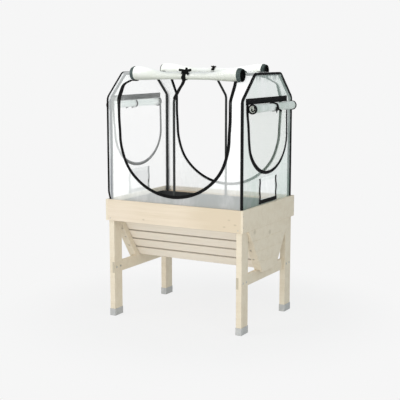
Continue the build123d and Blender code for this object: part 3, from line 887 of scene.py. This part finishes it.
@dataclass(frozen=True)
class Door(CoverPart):
    """Front or back of the cover: film, zip, and the door rolled up and tied beside the ridge."""

    down: float  # how far down the slope the roll rests
    bow: float  # size of the bow, 1 in front
    ride: Pair = (0.85, 0.65)  # how far each wide end rides up on the slope
    flare: float = 1.14  # left end against the right
    waist: float = 0.0218  # radius of the roll at its tie
    end: float = 0.0430  # and at its ends
    half: float = 0.390  # half width of the door
    arc_top: float = 1.205
    arc_drop: float = 0.370
    edge_steps: int = 72
    seam: float = 0.132  # from the middle of the ridge
    zip_width: float = 0.020
    roll_half: float = 0.394
    roll_shift: float = 0.031
    roll_out: float = 0.0217  # axis off the slope
    stand_off: float = 0.024  # film off the slope beside the roll
    turns: float = 6.0
    turn_steps: int = 132
    tie_x: float = 0.014
    tie_radius: float = 0.0236
    tail_x: float = 0.002
    tail_radius: float = 0.0256
    bow_faces: Triple = (0.47, -0.87, 0.15)

    @property
    def arc_t(self) -> float:
        """Distance from the hem up to where the door's curve starts."""
        return self.arc_top - self.shell.hem

    @property
    def leaf(self) -> Arch:
        """The door laid flat, up to its seam on the roof."""
        seam_t = self.shell.ridge_t + self.shell.ridge_half - self.seam
        return Arch(self.half, seam_t, self.arc_t, self.arc_drop)

    def build(self) -> None:
        """Builds the film with its zip, and the rolled door with its webbing."""
        self.film(self.zip_tape())
        self.sheet()
        self.webbing()
        if self.near:
            self.tail()

    def swell(self, share: float) -> float:
        """How far the roll opens towards its ends.

        Args:
            share: place from -1 to 1 along the roll.

        Returns:
            What it adds to the waist's radius.
        """
        place = abs(share)
        open_up = smooth(0.30, 0.92, place) - 0.16 * smooth(0.96, 1.0, place)
        return (self.end - self.waist) * open_up * (self.flare if share < 0 else 1.0)

    def axis(self, share: float) -> Pair:
        """Axis of the roll.

        Args:
            share: place from -1 to 1 along the roll.

        Returns:
            (y, z) of the axis.
        """
        run, rise = self.shell.tilt
        out = self.roll_out + self.ride[share > 0] * self.swell(share)
        y = -self.shell.ridge_half - self.down * run - out * rise
        return y, self.shell.ridge + out * run - self.down * rise

    def edge(self, grow: float) -> list[Pair]:
        """Door edge, drawn in a little towards the ends of the roll.

        Args:
            grow: offset outwards from the edge.

        Returns:
            (x, t) points from the left seam round to the right seam.
        """
        wall = self.shell.wall
        eased = []
        for x, t in self.leaf.outline(grow, self.edge_steps):
            pull = (0.055 if x < 0 else 0.012) * smooth(wall + 0.085, wall + 0.16, t)
            pull += 0.007 * smooth(0.22, 0.36, t) * (1 - smooth(0.44, 0.58, t))
            eased.append((x - math.copysign(pull, x), t))
        return eased

    def film_point(self, x: float, t: float, proud: float = 0.0) -> Vector:
        """Point on the film, which stands off the slope beside the roll and gives way to it.

        Args:
            x: place along the planter.
            t: distance up from the hem.
            proud: distance off the film.

        Returns:
            The point.
        """
        shell, wall, ridge_t = self.shell, self.shell.wall, self.shell.ridge_t
        edge = smooth(shell.reach - 0.012, self.half, abs(x))
        slack = smooth(wall - 0.006, wall + 0.11, t) * (1 - smooth(ridge_t - 0.09, ridge_t + 0.01, t))
        ripple = shell.ripple * noise.noise(Vector((x * 7.0, t * 4.0, 3.1)))
        calm = 1 - smooth(shell.reach - 0.03, shell.reach - 0.006, abs(x))
        if t < wall + 0.02:
            calm *= smooth(0.010, 0.035, abs(abs(x) - self.half - self.zip_width / 2))
        y, z = shell.off(t, self.stand_off * edge * slack + ripple * calm + shell.skin + proud)
        share = (x - self.roll_shift) / self.roll_half
        heart = Vector(self.axis(max(-1.0, min(1.0, share))))
        away = Vector((y, z)) - heart
        room = (self.waist + self.swell(share) + 0.003) * (1 - smooth(1.0, 1.06, abs(share)))
        if away.length < room:
            away *= room / away.length
        return shell.slack(self.side, Vector((x, *(heart + away))))

    def zip_tape(self) -> bpy.types.Object:
        """Black zip round the door: tape, broader on the upper left of the front, and a raised coil.

        Returns:
            The zip.
        """
        wall = self.shell.wall
        piece = self.piece("zip_tape", "black_tape", "zip_coil")
        for grow, width, thick, material in (
            (self.zip_width / 2, self.zip_width, TAPE, 0),
            (0.0025, 0.005, 0.0026, 1),
        ):
            path, over = [], []
            for (x, t), near in zip(self.edge(grow), self.edge(grow + 0.004)):
                path.append(self.film_point(x, t, thick))
                broad = self.bow * smooth(0.0, 0.2, -x) * smooth(wall - 0.10, wall + 0.06, t)
                way = (self.film_point(*near, thick) - path[-1]).normalized()
                over.append(way * (1 + 0.6 * broad))
            piece.ribbon(path, over, width, thick, material=material)
        return piece.settle("cover", "binding_tape", f"{self.name}_zip")

    def film(self, zip_tape: bpy.types.Object) -> None:
        """Front or back sheet: a ring of film from the zip to the outer edges.

        Args:
            zip_tape: not used.
        """
        inner = self.edge(self.zip_width - 0.004)
        reach, foot = self.shell.reach - 0.001, 0.0005
        outer = []
        for x, t in inner:
            if t > self.arc_t:
                outer.append((math.copysign(reach, x), t))
                continue
            dx, dt = x / self.half, (t - self.arc_t) / self.arc_drop
            scale = min(reach / max(abs(dx), 1e-6), (self.arc_t - foot) / max(-dt, 1e-6))
            outer.append((dx * scale, self.arc_t + dt * scale))
        for corner in ((-reach, foot), (reach, foot)):
            best = min(range(len(outer)), key=lambda i: math.dist(outer[i], corner))
            outer[best] = corner
        piece = self.piece("film", "clear_film")
        made = piece.between(inner, outer, 10, self.film_point).settle("cover", "film", f"film_{self.name}")
        flat_size = (2 * self.shell.reach, self.shell.ridge_t)
        opening = Arch(self.half, self.shell.ridge_t, self.arc_t, self.arc_drop).area
        flat_size[0] * flat_size[1] - opening

    def sheet(self) -> None:
        """Door wound up beside the ridge; its black zip shows in both ends."""
        shell = self.shell
        piece = self.piece("door_sheet", "rolled_film", "black_tape", "wound_zip")
        shares = [-1.0, -0.985, *span(-0.965, 0.965, 56), 0.985, 1.0]
        rows, uvs = [], []
        for share in shares:
            x = self.roll_shift + share * self.roll_half
            y, z = self.axis(share)
            swell = self.swell(share)
            outer, inner = self.waist + swell, 0.006 + 0.35 * swell
            wound = []
            for dy, dz in spiral(outer, inner, self.turns, math.radians(75), self.turn_steps):
                wave = 1 + 0.0096 * noise.noise(Vector((x * 9, dy * 40, dz * 40)))
                wound.append(Vector((x, y + dy * wave, z + dz * wave)))
            seam = Vector((x, -self.seam - 0.002, shell.ridge + 0.0016))
            corner = Vector((x, -shell.ridge_half, shell.ridge + 0.0022))
            lead = [a.lerp(b, s / 3) for a, b in ((seam, corner), (corner, wound[0])) for s in range(3)]
            rows.append(lead + wound)
            uvs.append([(x, i * 0.006) for i in range(len(rows[-1]))])
        lead_count = len(rows[0]) - self.turn_steps - 1

        def finish(i: int, j: int) -> int:
            """Finish of a face of the winding, black at the ends that show.

            Args:
                i: place along the roll.
                j: place along the winding.

            Returns:
                Index of the material.
            """
            share = (shares[i] + shares[i + 1]) / 2
            if j < lead_count - 3 or share > 0 and not self.near:
                return 0
            if abs(share) > 0.94 and j < lead_count + 24:
                return 2
            return 1 if abs(share) > 0.97 else 0

        piece.grid(rows, uvs, material=finish)
        for share in (-0.994, 0.994):
            self.cap(piece, share)
        made = piece.settle(f"{self.name}_door", "film", f"{self.name}_door_roll")
        self.leaf.size
        self.leaf.area

    def cap(self, piece: Piece, share: float) -> None:
        """Edges of the wound zip, which fill the end of the roll.

        Args:
            piece: the rolled door.
            share: place of the edges along the roll.
        """
        x = self.roll_shift + share * self.roll_half
        heart = Vector((x, *self.axis(share)))
        outer, core = self.waist + self.swell(share) - 0.001, 0.004
        rows = []
        for step in span(0.0, 1.0, 24):
            r = core + (outer - core) * step
            row = ring(heart, Y_WAY * r, Z_WAY * r, 40)
            for i, point in enumerate(row):
                angle = 2 * math.pi * i / len(row)
                dent = 0.0016 * math.cos(2 * math.pi * self.turns * step - angle) - 0.004 * (1 - step)
                point.x += math.copysign(1.0, share) * dent
            rows.append(row)
        piece.grid(rows, lambda p: (p.y, p.z), loop=True, material=lambda i, j: 1)

    def webbing(self) -> None:
        """Webbing round the waist of the roll, with a bow on top."""
        piece = self.piece("door_webbing", "webbing")
        heart = Vector((self.tie_x + 0.006, *self.axis(0.0)))
        band = ring(heart, Y_WAY * self.tie_radius, Z_WAY * self.tie_radius, 40)
        piece.ribbon(band, X_WAY, 0.025, 0.0016, closed=True)
        self.tie_bow(piece, heart + Vector((0.008, 0, 0.0200 + 0.0062 * self.bow)))
        piece.settle(f"{self.name}_door", "webbing", f"{self.name}_tie")

    def tie_bow(self, piece: Piece, top: Vector) -> None:
        """Two flat loops, three loose ends and a knot, with their faces to the front.

        Args:
            piece: piece to add them to.
            top: where the knot sits.
        """
        view = self.side.place(Vector(self.bow_faces))
        for way, length, width in (((-1.0, -0.25, 0.16), 0.050, 0.014), ((1.0, -0.2, 0.20), 0.040, 0.015)):
            along = Vector(way).normalized()
            over = along.cross(view).normalized()
            reach = along * (self.bow * length / 2)
            loop = ring(top + reach + Z_WAY * 0.006, -reach, over.cross(along) * 0.007, 22)
            piece.ribbon(loop, over, self.bow * width, WEBBING, closed=True)
        for way, length, drop in (
            ((0.45, -0.3, 0.9), 0.026, 0.0),
            ((0.9, -0.6, -0.35), 0.036, 0.010),
            ((-0.8, -0.8, 0.0), 0.030, 0.012),
        ):
            along = Vector(way).normalized()
            over = along.cross(view).normalized()
            tail = []
            for s in span(0.0, 1.0, 8):
                tail.append(top + along * (self.bow * length * s) + Vector((0, -0.008, 0.005 - drop * s * s)))
            piece.ribbon(tail, over, self.bow * 0.015, WEBBING)
        knot = ring(top + Z_WAY * 0.004 * self.bow, X_WAY * 0.008 * self.bow, Z_WAY * 0.009 * self.bow, 16)
        piece.ribbon(knot, Y_WAY, self.bow * 0.022, 0.003, closed=True)

    def tail(self) -> None:
        """Loose end of the webbing, over the roll and down the slope beside the middle hoop."""
        (y, z), r = self.axis(0.0), self.tail_radius
        path = []
        for step in span(0.0, 1.0, 12):
            angle = math.radians(80 + 120 * step)
            sway = self.tie_x + 0.022 * (1 - step)
            path.append(Vector((sway, y + r * math.cos(angle), z + r * math.sin(angle))))
        first, low = self.shell.ridge_t - self.down - 0.026, self.tail_x + 0.006
        for t in span(first, self.shell.wall + 0.006, 24):
            sway = low + (self.tie_x - low) * smooth(first - 0.08, first, t)
            path.append(Vector((sway, *self.shell.off(t, 0.0014 + 0.006 * smooth(first - 0.03, first, t)))))
        piece = self.piece("webbing_tail", "webbing").ribbon(path, X_WAY, 0.024, 0.0015)
        made = piece.build()
        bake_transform(made)


@dataclass(frozen=True)
class Roof:
    """Strip of film along the ridge, notched where the doors are sewn on."""

    finishes: Finishes
    shell: Shell
    notch_half: float
    notch_seam: float

    def build(self) -> None:
        """Builds the strip."""
        shell, half = self.shell, self.notch_half
        reach = shell.reach - 0.001
        edge = span(0.0, reach - half, 4)
        rows = []
        for x in [-reach + e for e in edge] + span(-half, half, 36)[1:-1] + [reach - e for e in edge[::-1]]:
            depth = shell.ridge_half + 0.001 if abs(x) >= half - 1e-6 else self.notch_seam
            row = []
            for share in span(-1.0, 1.0, 14):
                sag = shell.ripple * (1 - share * share) * abs(noise.noise(Vector((x * 5, share * 2, 1.7))))
                point = Vector((x, share * depth, shell.ridge + shell.skin - sag))
                row.append(shell.slack(Side.AS_DRAWN, point))
            rows.append(row)
        piece = Piece("ridge_film", self.finishes["clear_film"]).grid(rows, lambda p: (p.x, p.y))
        made = piece.settle("cover", "film", "film_roof")
        flat_size = (2 * shell.reach, 2 * shell.ridge_half)
        notch = 4 * half * (shell.ridge_half - self.notch_seam)
        flat_size[0] * flat_size[1] - notch


@dataclass(frozen=True)
class End(CoverPart):
    """Right or left end of the cover: film and bindings, the net window with its rolled-up sheet,
    and the access flap over its port."""

    window: Arch = Arch(0.272, 1.410, 1.200, 0.216)
    window_steps: int = 48
    net_lap: float = 0.006
    strip_half: float = 0.295  # half width of the strip above the window
    strip_top: float = 1.447
    roll_half: float = 0.295
    roll_x: float = 0.5135
    roll_z: float = 1.384
    roll_turns: float = 3.0
    tie_y: float = 0.010
    tie_radius: float = 0.0266
    flap_half: float = 0.127
    flap_top: float = 0.948
    flap_foot: float = 0.786
    port_half: float = 0.100
    port_low: float = 0.815
    port_high: float = 0.925

    def build(self) -> None:
        """Builds the end's sheets with their tapes and ties."""
        self.film([self.binding(), self.window_frame()])
        self.net()
        self.window_sheet()
        self.window_tie()
        self.flap()

    def film_point(self, y: float, z: float) -> Vector:
        """Point on the end film, lightly hollow between its bindings.

        Args:
            y: place across the planter.
            z: height.

        Returns:
            The point.
        """
        shell = self.shell
        calm = 1 - smooth(0.30, 0.345, abs(y))
        wave = abs(noise.noise(Vector((y * 6.0, z * 4.0, 8.7))))
        run, rise = shell.tilt
        eaves = (shell.depth - abs(y)) * rise + (shell.shoulder - z) * run
        inside = min(shell.depth - abs(y), eaves, shell.ridge - z)
        point = Vector((shell.reach - shell.skin - shell.ripple * wave * calm, y, z))
        return shell.slack(self.side, point, 1 - smooth(0.0, 0.07, inside))

    def film(self, tapes: Sequence[bpy.types.Object]) -> None:
        """End sheet: a ring of film between the window and the outline, with the access port.

        Args:
            tapes: not used.
        """
        shell, window = self.shell, self.window
        inner = window.outline(0.0, self.window_steps)
        inner += [(y, window.top) for y in span(window.half, -window.half, 24)[1:-1]]
        right = [(-y, z) for y, z in (shell.point(t) for t in span(0.0, shell.ridge_t, 60))]
        outline = right + [(y, shell.ridge) for y in span(shell.ridge_half, -shell.ridge_half, 30)[1:-1]]
        outline += [(-y, z) for y, z in right[::-1]]
        outline += [(y, shell.hem) for y in span(-shell.depth, shell.depth, 60)[1:-1]]
        outer = [self.hit(outline, point) for point in inner]
        # The far end takes the brighter, glowing copy of the film, painted light.
        piece = self.piece("end_film", "end_film" if self.near else "far_film_painted_glow")
        self.cut_port(piece.between(inner, outer, 12, self.film_point, loop=True))
        made = piece.settle("cover", "film", f"film_{self.name}")
        gable = (shell.depth + shell.ridge_half) * (shell.ridge - shell.shoulder)
        port = 2 * self.port_half * (self.port_high - self.port_low)
        2 * shell.depth * shell.wall + gable - window.area - port

    def hit(self, outline: Sequence[Pair], point: Pair) -> Pair:
        """Outline point in the same direction from the middle of the window's curve.

        Args:
            outline: closed outline.
            point: point on the window's edge.

        Returns:
            The outline's point that lies closest to that direction.
        """

        def angle(place: Pair) -> float:
            """Direction of a point."""
            return math.atan2(place[1] - self.window.arc_top, place[0])

        way = angle(point)
        return min(outline, key=lambda place: abs(math.remainder(angle(place) - way, 2 * math.pi)))

    def cut_port(self, piece: Piece) -> None:
        """Cuts the square access port out of the end sheet.

        Args:
            piece: the end sheet.
        """
        mesh, half = piece.mesh, self.port_half
        for away, way in ((half, Y_WAY), (-half, Y_WAY), (self.port_low, Z_WAY), (self.port_high, Z_WAY)):
            geometry = mesh.verts[:] + mesh.edges[:] + mesh.faces[:]
            bmesh.ops.bisect_plane(mesh, geom=geometry, plane_co=way * away, plane_no=way, dist=1e-6)
        inside = []
        for face in mesh.faces:
            heart = face.calc_center_median()
            if abs(heart.y) < half and self.port_low < heart.z < self.port_high:
                inside.append(face)
        bmesh.ops.delete(mesh, geom=inside, context="FACES")

    def binding(self) -> bpy.types.Object:
        """Black tape folded over the end's outer edge, narrower on the slopes.

        Returns:
            The tape.
        """
        shell = self.shell
        piece = self.piece("binding_tape", "black_tape")
        points = [(shell.point(t), shell.normal(t)) for t in span(0.0, shell.ridge_t + shell.ridge_half, 70)]
        points += [((-y, z), (-ny, nz)) for (y, z), (ny, nz) in points[-2::-1]]
        flat, over, wrap = [], [], []
        for i, ((y, z), (ny, nz)) in enumerate(points):
            out = Vector((0, ny, nz))
            flat.append(shell.slack(self.side, Vector((shell.reach + 0.0009, y, z)) - out * 0.006))
            over.append(out * (1 - 0.4 * smooth(0.08, 0.16, abs(ny * nz))))
            wave = 0.0014 + 0.0006 * noise.noise(Vector((0.0, i * 0.35, 4.0)))
            wrap.append(shell.slack(self.side, Vector((shell.reach - 0.0055, y, z)) + out * wave))
        piece.ribbon(flat, over, 0.0135, 0.0013)
        piece.ribbon(wrap, X_WAY, 0.0140, 0.0013)
        if self.near:
            hem = [(p - o * 0.011, o) for p, o in zip(flat, over) if p.y > shell.ridge_half + 0.01]
            piece.ribbon([p for p, _ in hem], [o for _, o in hem], 0.012, TAPE)
        return piece.settle("cover", "binding_tape", f"binding_{self.name}")

    def window_frame(self) -> bpy.types.Object:
        """Black tape round the window's U, broader on the right end's front edge, and the strip above.

        Returns:
            The tape.
        """
        window = self.window
        piece = self.piece("window_binding", "black_tape", "zip_coil")
        hang = -0.022 * self.side.value
        for grow, width, thick, proud, material in (
            (0.009, 0.021, TAPE, 0.0009, 0),
            (0.003, 0.005, 0.0022, 0.0022, 1),
        ):
            flat, near = (window.outline(g, self.window_steps) for g in (grow, grow + 0.004))
            path, over = [], []
            for (y, z), (near_y, near_z) in zip(flat, near):
                broad = smooth(0.05, 0.22, -y) if self.near else 0.0
                drawn = hang * smooth(1.12, window.top, z) * (1.0 if y * hang > 0 else 0.25)
                inward = 0.005 + 0.007 * smooth(1.10, 1.18, z) * smooth(1.36, 1.28, z)
                path.append(Vector((self.shell.reach + proud, y + drawn + inward * broad, z)))
                over.append(Vector((0, near_y - y, near_z - z)).normalized() * (1 + 0.48 * broad))
            piece.ribbon(path, over, width, thick, material=material)
        strip = Vector((self.shell.reach + 0.0013, hang, (window.top + self.strip_top) / 2))
        path = [strip + Y_WAY * y for y in span(-self.strip_half, self.strip_half, 30)]
        piece.ribbon(path, Z_WAY, self.strip_top - window.top, 0.0022)
        return piece.settle("cover", "binding_tape", f"{self.name}_window_frame")

    def net_point(self, y: float, z: float) -> Vector:
        """Point on the net, which hangs a little behind the film."""
        dip = 0.0034 + 0.001 * abs(noise.noise(Vector((y * 4, z * 4, 0))))
        return Vector((self.shell.reach - dip, y, z))

    def net(self) -> None:
        """Insect net in the window, lapped behind its edge."""
        window, lap = self.window, self.net_lap
        sheet = Arch(window.half + lap, window.top + lap, window.arc_top, window.drop + lap)
        edge = sheet.outline(0.0, self.window_steps)
        half = len(edge) // 2
        # The far net is a brighter, glowing copy, painted light.
        piece = self.piece("window_net", "window_net" if self.near else "far_net_painted_glow")
        piece.between(edge[: half + 1], edge[: half - 1 : -1], 20, self.net_point)
        made = piece.settle("cover", "mesh_cloth", f"{self.name}_window_mesh")
        sheet.size
        sheet.area

    def window_sheet(self) -> None:
        """Window sheet rolled up above the net, bound in black along its edges."""
        window = self.window
        # The far window film is a brighter, glowing copy, painted light.
        film = "rolled_window_film" if self.near else "far_window_film_painted_glow"
        piece = self.piece("window_sheet", film, "black_tape", "rolled_film")
        heart = Vector((self.roll_x, 0, self.roll_z))
        rows, uvs = [], []
        for share in (-1.0, -0.985, *span(-0.96, 0.96, 40), 0.985, 1.0):
            y = share * self.roll_half
            outer = 0.0248 + 0.0034 * smooth(0.30, 0.92, abs(share))
            wound = []
            for across, up in spiral(outer, 0.008, self.roll_turns, math.radians(105), 84):
                wave = 1 + 0.012 * noise.noise(Vector((y * 9, across * 40, up * 40)))
                wound.append(heart + Vector((-across * wave, y, up * wave)))
            seam = Vector((self.shell.reach + 0.0032, y * 0.95, window.top - 0.002))
            rows.append([seam.lerp(wound[0], s / 4) for s in range(4)] + wound)
            uvs.append([(y, i * 0.005) for i in range(len(rows[-1]))])
        piece.grid(rows, uvs)
        for way in (-1.0, 1.0):
            self.roll_end(piece, heart, way)
        made = piece.settle(f"{self.name}_window", "film", f"{self.name}_window_roll")
        flat = Arch(self.strip_half, window.top, window.arc_top, window.drop)
        flat.size
        flat.area

    def roll_end(self, piece: Piece, heart: Vector, way: float) -> None:
        """Pale disc in an end of the window roll, with the black windings of its edge.

        Args:
            piece: the rolled window sheet.
            heart: middle of the roll.
            way: 1 or -1, the end that is built.
        """
        disc = []
        for r in (0.002, 0.012, 0.0262):
            y = way * (self.roll_half - 0.006)
            disc.append([heart + Vector((-a, y, b)) for a, b in spiral(r, r, 1.0, 0.0, 40)])
        piece.grid(disc, lambda p: (p.x, p.z), material=lambda i, j: 2)
        for winding, width, thick in (
            (spiral(0.0291, 0.0291, 1.0, 0.0, 40), 0.012, 0.0015),
            (spiral(0.0258, 0.0252, 1.0, 0.0, 40), 0.009, 0.0075),
            (spiral(0.019, 0.003, 0.75, 2.2, 30), 0.009, 0.0055),
        ):
            y = way * (self.roll_half + 0.0015 - width / 2)
            piece.ribbon([heart + Vector((-a, y, b)) for a, b in winding], Y_WAY, width, thick, material=1)

    def window_tie(self) -> None:
        """Narrow webbing round the window roll, with a knot, a loop and two ends."""
        piece = self.piece("window_webbing", "webbing")
        heart = Vector((self.roll_x, self.tie_y, self.roll_z))
        band = ring(heart, X_WAY * self.tie_radius, Z_WAY * self.tie_radius, 40)
        piece.ribbon(band, Y_WAY, 0.016, 0.0015, closed=True)
        face = heart + Vector((0.0285, -0.006, -0.008))
        knot = ring(face + X_WAY * 0.0012, X_WAY * 0.003, Z_WAY * 0.011, 14)
        piece.ribbon(knot, Y_WAY, 0.032, 0.0025, closed=True)
        loop = []
        for share in span(0.0, 1.0, 16):
            angle = math.radians(96 - 110 * share)
            reach = -0.052 * (1 - share) ** 2 + 0.016 * math.sin(math.pi * share)
            loop.append(heart + Vector((0.0282 * math.cos(angle), reach, 0.0282 * math.sin(angle))))
        piece.ribbon(loop, Vector((0, 0.8, 0.6)), 0.013, WEBBING)
        for reach, drop in ((0.060, 0.020), (-0.020, 0.024)):
            tail = [face + Vector((0.002, reach * s, -drop * s)) for s in span(0.0, 1.0, 8)]
            piece.ribbon(tail, Vector((0, drop, reach)).normalized(), 0.013, WEBBING)
        piece.settle(f"{self.name}_window", "webbing", f"{self.name}_window_tie")

    def flap_point(self, y: float, z: float, ripple_y: float, proud: float) -> Vector:
        """Point on the access flap, which hangs free and ripples below its seam.

        Args:
            y: place across the planter.
            z: height.
            ripple_y: place across the planter whose ripple it takes.
            proud: distance off the flap.

        Returns:
            The point.
        """
        free = smooth(self.flap_top, self.flap_foot, z)
        ripple = 0.0016 * free * (1 + noise.noise(Vector((ripple_y * 14, z * 22, 2.2))))
        return Vector((self.shell.reach + 0.0010 + ripple + proud, y, z))

    def flap(self) -> None:
        """Access flap: a film sheet with wavy black sides and a broad black hem."""
        half, top, foot = self.flap_half, self.flap_top, self.flap_foot
        across = span(-half, half, 24)
        rows = [[self.flap_point(y, z, y, 0.0) for y in across] for z in span(top, foot, 18)]
        piece = self.piece("access_sheet", "clear_film")
        piece.grid(rows, lambda p: (p.y, p.z))
        made = piece.settle(f"{self.name}_access", "film", f"{self.name}_flap")
        trim = self.piece("access_trim", "black_tape")
        for sign in (-1, 1):
            path = []
            for z in span(top - 0.003, foot, 24):
                y = sign * (half - 0.009 - 0.003 * math.sin(70 * z))
                path.append(self.flap_point(y, z, 0.0, 0.0010))
            trim.ribbon(path, Y_WAY, 0.019, TAPE)
        path = [self.flap_point(y, foot + 0.012, y, 0.0012) for y in across]
        edge = trim.ribbon(path, Z_WAY, 0.024, TAPE).settle(f"{self.name}_access", "binding_tape")
        2 * half
        top - foot


@dataclass(frozen=True)
class Trough:
    """Felt liner, which lies on the slats, and the finishes of the timber and fittings."""

    finishes: Finishes
    foot: float = 0.379
    top: float = 0.752
    reach: float = 0.4825
    panel_half: float = 0.300  # half width of the end panels at their top
    panel_top: float = 0.642
    fall: float = 0.685  # slope of their edges
    room: float = 0.0727  # from those edges in to the liner

    def build(self) -> None:
        """Builds the liner and dresses every rigid node."""
        self.liner()
        self.dress()

    def wall(self, z: float) -> float:
        """Half width of the liner at a height."""
        return self.panel_half - self.fall * (self.panel_top - z) - self.room

    @staticmethod
    def felt_point(x: float, y: float, z: float) -> Vector:
        """Point on the felt, which ripples a little inside the given one.

        Args:
            x: place along the planter.
            y: place across it.
            z: height.

        Returns:
            The point.
        """
        ripple = abs(0.004 * noise.noise(Vector((x * 8, y * 8, z * 10))))
        inner = math.copysign(min(0.002 + ripple, abs(y)), y)
        return Vector((x, y - inner, z + 0.001 + 0.3 * ripple))

    def liner(self) -> None:
        """Felt liner sagging between the slats, open at the top."""
        foot, top, reach, wall = self.foot, self.top, self.reach, self.wall
        piece = Piece("liner_felt", self.finishes["liner_felt"])
        front = [(-wall(z), z) for z in span(top, foot, 16)]
        base = [(y, foot) for y in span(-wall(foot), wall(foot), 4)[1:-1]]
        profile = front + base + [(-y, z) for y, z in front[::-1]]
        rows = [[self.felt_point(x, y, z) for y, z in profile] for x in span(-reach, reach, 48)]
        piece.grid(rows, lambda p: (p.x, p.y + p.z))
        for x in (-reach, reach):
            rows = []
            for z in span(foot, top, 16):
                rows.append([self.felt_point(x, s * wall(z), z) for s in span(-1, 1, 12)])
            piece.grid(rows, lambda p: (p.y, p.z))
        made = piece.settle("planter", "liner_cloth", "liner")
        slant = (top - foot) / math.cos(math.atan(self.fall))
        width = 2 * slant + 2 * wall(foot)
        ends = 2 * (wall(top) + wall(foot)) * (top - foot)
        flat_size = (2 * reach + 2 * (top - foot), width)
        2 * reach * width + ends

    def dress(self) -> None:
        """Gives every node that still shows its finish."""
        for finish, starts in (
            ("timber_along", ("skirt_front", "skirt_back", "base_board")),
            ("timber_across", ("skirt_left", "skirt_right", "end_panel")),
            ("timber_upright", ("leg",)),
            ("timber_slat_painted_light", ("front_slats", "back_slats")),
            ("timber_rail", ("rail",)),
            ("timber_slope", ("batten",)),
            ("foot_plastic", ("foot",)),
            ("zinc_steel", ("fasteners",)),
            ("black_plastic", ("post_sockets", "ridge_tees")),
            ("coated_tube", ("hoop", "ridge_tubes")),
            ("slider_black", ("front_slider", "back_slider")),
        ):
            for name, node in frame["nodes"].items():
                if name.startswith(starts):
                    node.data.materials.clear()
                    node.data.materials.append(self.finishes[finish])


@dataclass(frozen=True)
class Lamp:
    """Large soft lamp: its place, its size, its power, what it points at and its colour."""

    name: str
    place: Triple
    size: float
    power: float
    aim: Triple
    colour: Triple

    def build(self) -> None:
        """Hangs the lamp."""
        light = bpy.data.lights.new(self.name, "AREA")
        light.energy = self.power
        light.size = self.size
        light.color = self.colour
        made = bpy.data.objects.new(self.name, light)
        made.location = self.place
        made.rotation_euler = (Vector(self.aim) - Vector(self.place)).to_track_quat("-Z", "Y").to_euler()
        bpy.context.scene.collection.objects.link(made)


@dataclass(frozen=True)
class Studio:
    """Pale floor, soft light and the camera of the photograph."""

    floor: Triple = (0.86, 0.86, 0.86)
    floor_half: float = 30.0
    shadow: float = 0.14
    tone: float = 0.922
    ambient: float = 0.65
    cast: Triple = (0.95, 1.0, 1.02)
    lamps: tuple[Lamp, ...] = (
        Lamp("key", (-3.2, -4.6, 4.2), 3.0, 85.0, (0.0, 0.0, 0.8), (1.0, 0.96, 0.92)),
        Lamp("fill", (4.5, -3.0, 2.5), 3.0, 30.0, (0.0, 0.0, 0.9), (0.95, 1.0, 0.95)),
        Lamp("low", (0.5, -3.6, 0.5), 2.4, 44.0, (0.0, 0.0, 0.45), (1.0, 0.985, 0.96)),
    )
    lens: float = 84.08
    sensor: float = 36.0
    camera_place: Triple = (2.979, -5.317, 1.699)
    camera_down: float = 8.76
    camera_turn: float = 29.34

    def build(self) -> None:
        """Sets the stage."""
        self.ground()
        self.sky()
        for lamp in self.lamps:
            lamp.build()
        self.camera()
        bpy.context.scene.view_settings.view_transform = "Standard"

    def ground(self) -> None:
        """Wide pale floor."""
        places = span(-self.floor_half, self.floor_half, 6)
        rows = [[Vector((x, y, 0.0)) for x in places] for y in places]
        finish = Floor("studio_floor", self.floor, self.tone, self.shadow).build()
        Piece("studio_floor", finish).grid(rows, lambda p: (p.x, p.y)).build()

    def sky(self) -> None:
        """Pale surround that also fills the shadows, dimmer as a light than as a background."""
        world = bpy.data.worlds.new("studio")
        bpy.context.scene.world = world
        world.use_nodes = True
        tree = world.node_tree
        tone = tree.nodes.new("ShaderNodeMix")
        tone.data_type = "RGBA"
        tone.inputs[6].default_value = (*(self.ambient * c for c in self.cast), 1.0)
        tone.inputs[7].default_value = (self.tone, self.tone, self.tone, 1.0)
        seen = tree.nodes.new("ShaderNodeLightPath")
        tree.links.new(seen.outputs["Is Camera Ray"], tone.inputs[0])
        tree.links.new(tone.outputs[2], tree.nodes["Background"].inputs["Color"])

    def camera(self) -> None:
        """Camera fitted to the corners of the planter in the photograph."""
        lens = bpy.data.cameras.new("camera")
        lens.lens = self.lens
        lens.sensor_width = self.sensor
        made = bpy.data.objects.new("camera", lens)
        made.location = self.camera_place
        made.rotation_euler = (math.radians(90 - self.camera_down), 0.0, math.radians(self.camera_turn))
        bpy.context.scene.collection.objects.link(made)
        bpy.context.scene.camera = made


def main() -> None:
    """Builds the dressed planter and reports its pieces."""
    logging.basicConfig(level=logging.INFO, format="%(name)s: %(message)s")
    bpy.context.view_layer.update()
    shell = Shell()
    finishes = make_finishes()
    front = Door(finishes, shell, "front", Side.AS_DRAWN, down=0.057, bow=1.0)
    back = Door(finishes, shell, "back", Side.TURNED, down=0.020, bow=0.42, ride=(0.40, 0.50), flare=1.0)
    roof = Roof(finishes, shell, front.half, front.seam)
    right = End(finishes, shell, "right", Side.AS_DRAWN)
    left = End(finishes, shell, "left", Side.TURNED)
    for part in (front, back, roof, right, left, Trough(finishes), Studio()):
        part.build()
    for made in bpy.data.objects:
        log.info("%s %s", made.type.lower(), made.name)


if __name__ == "__main__":
    main()
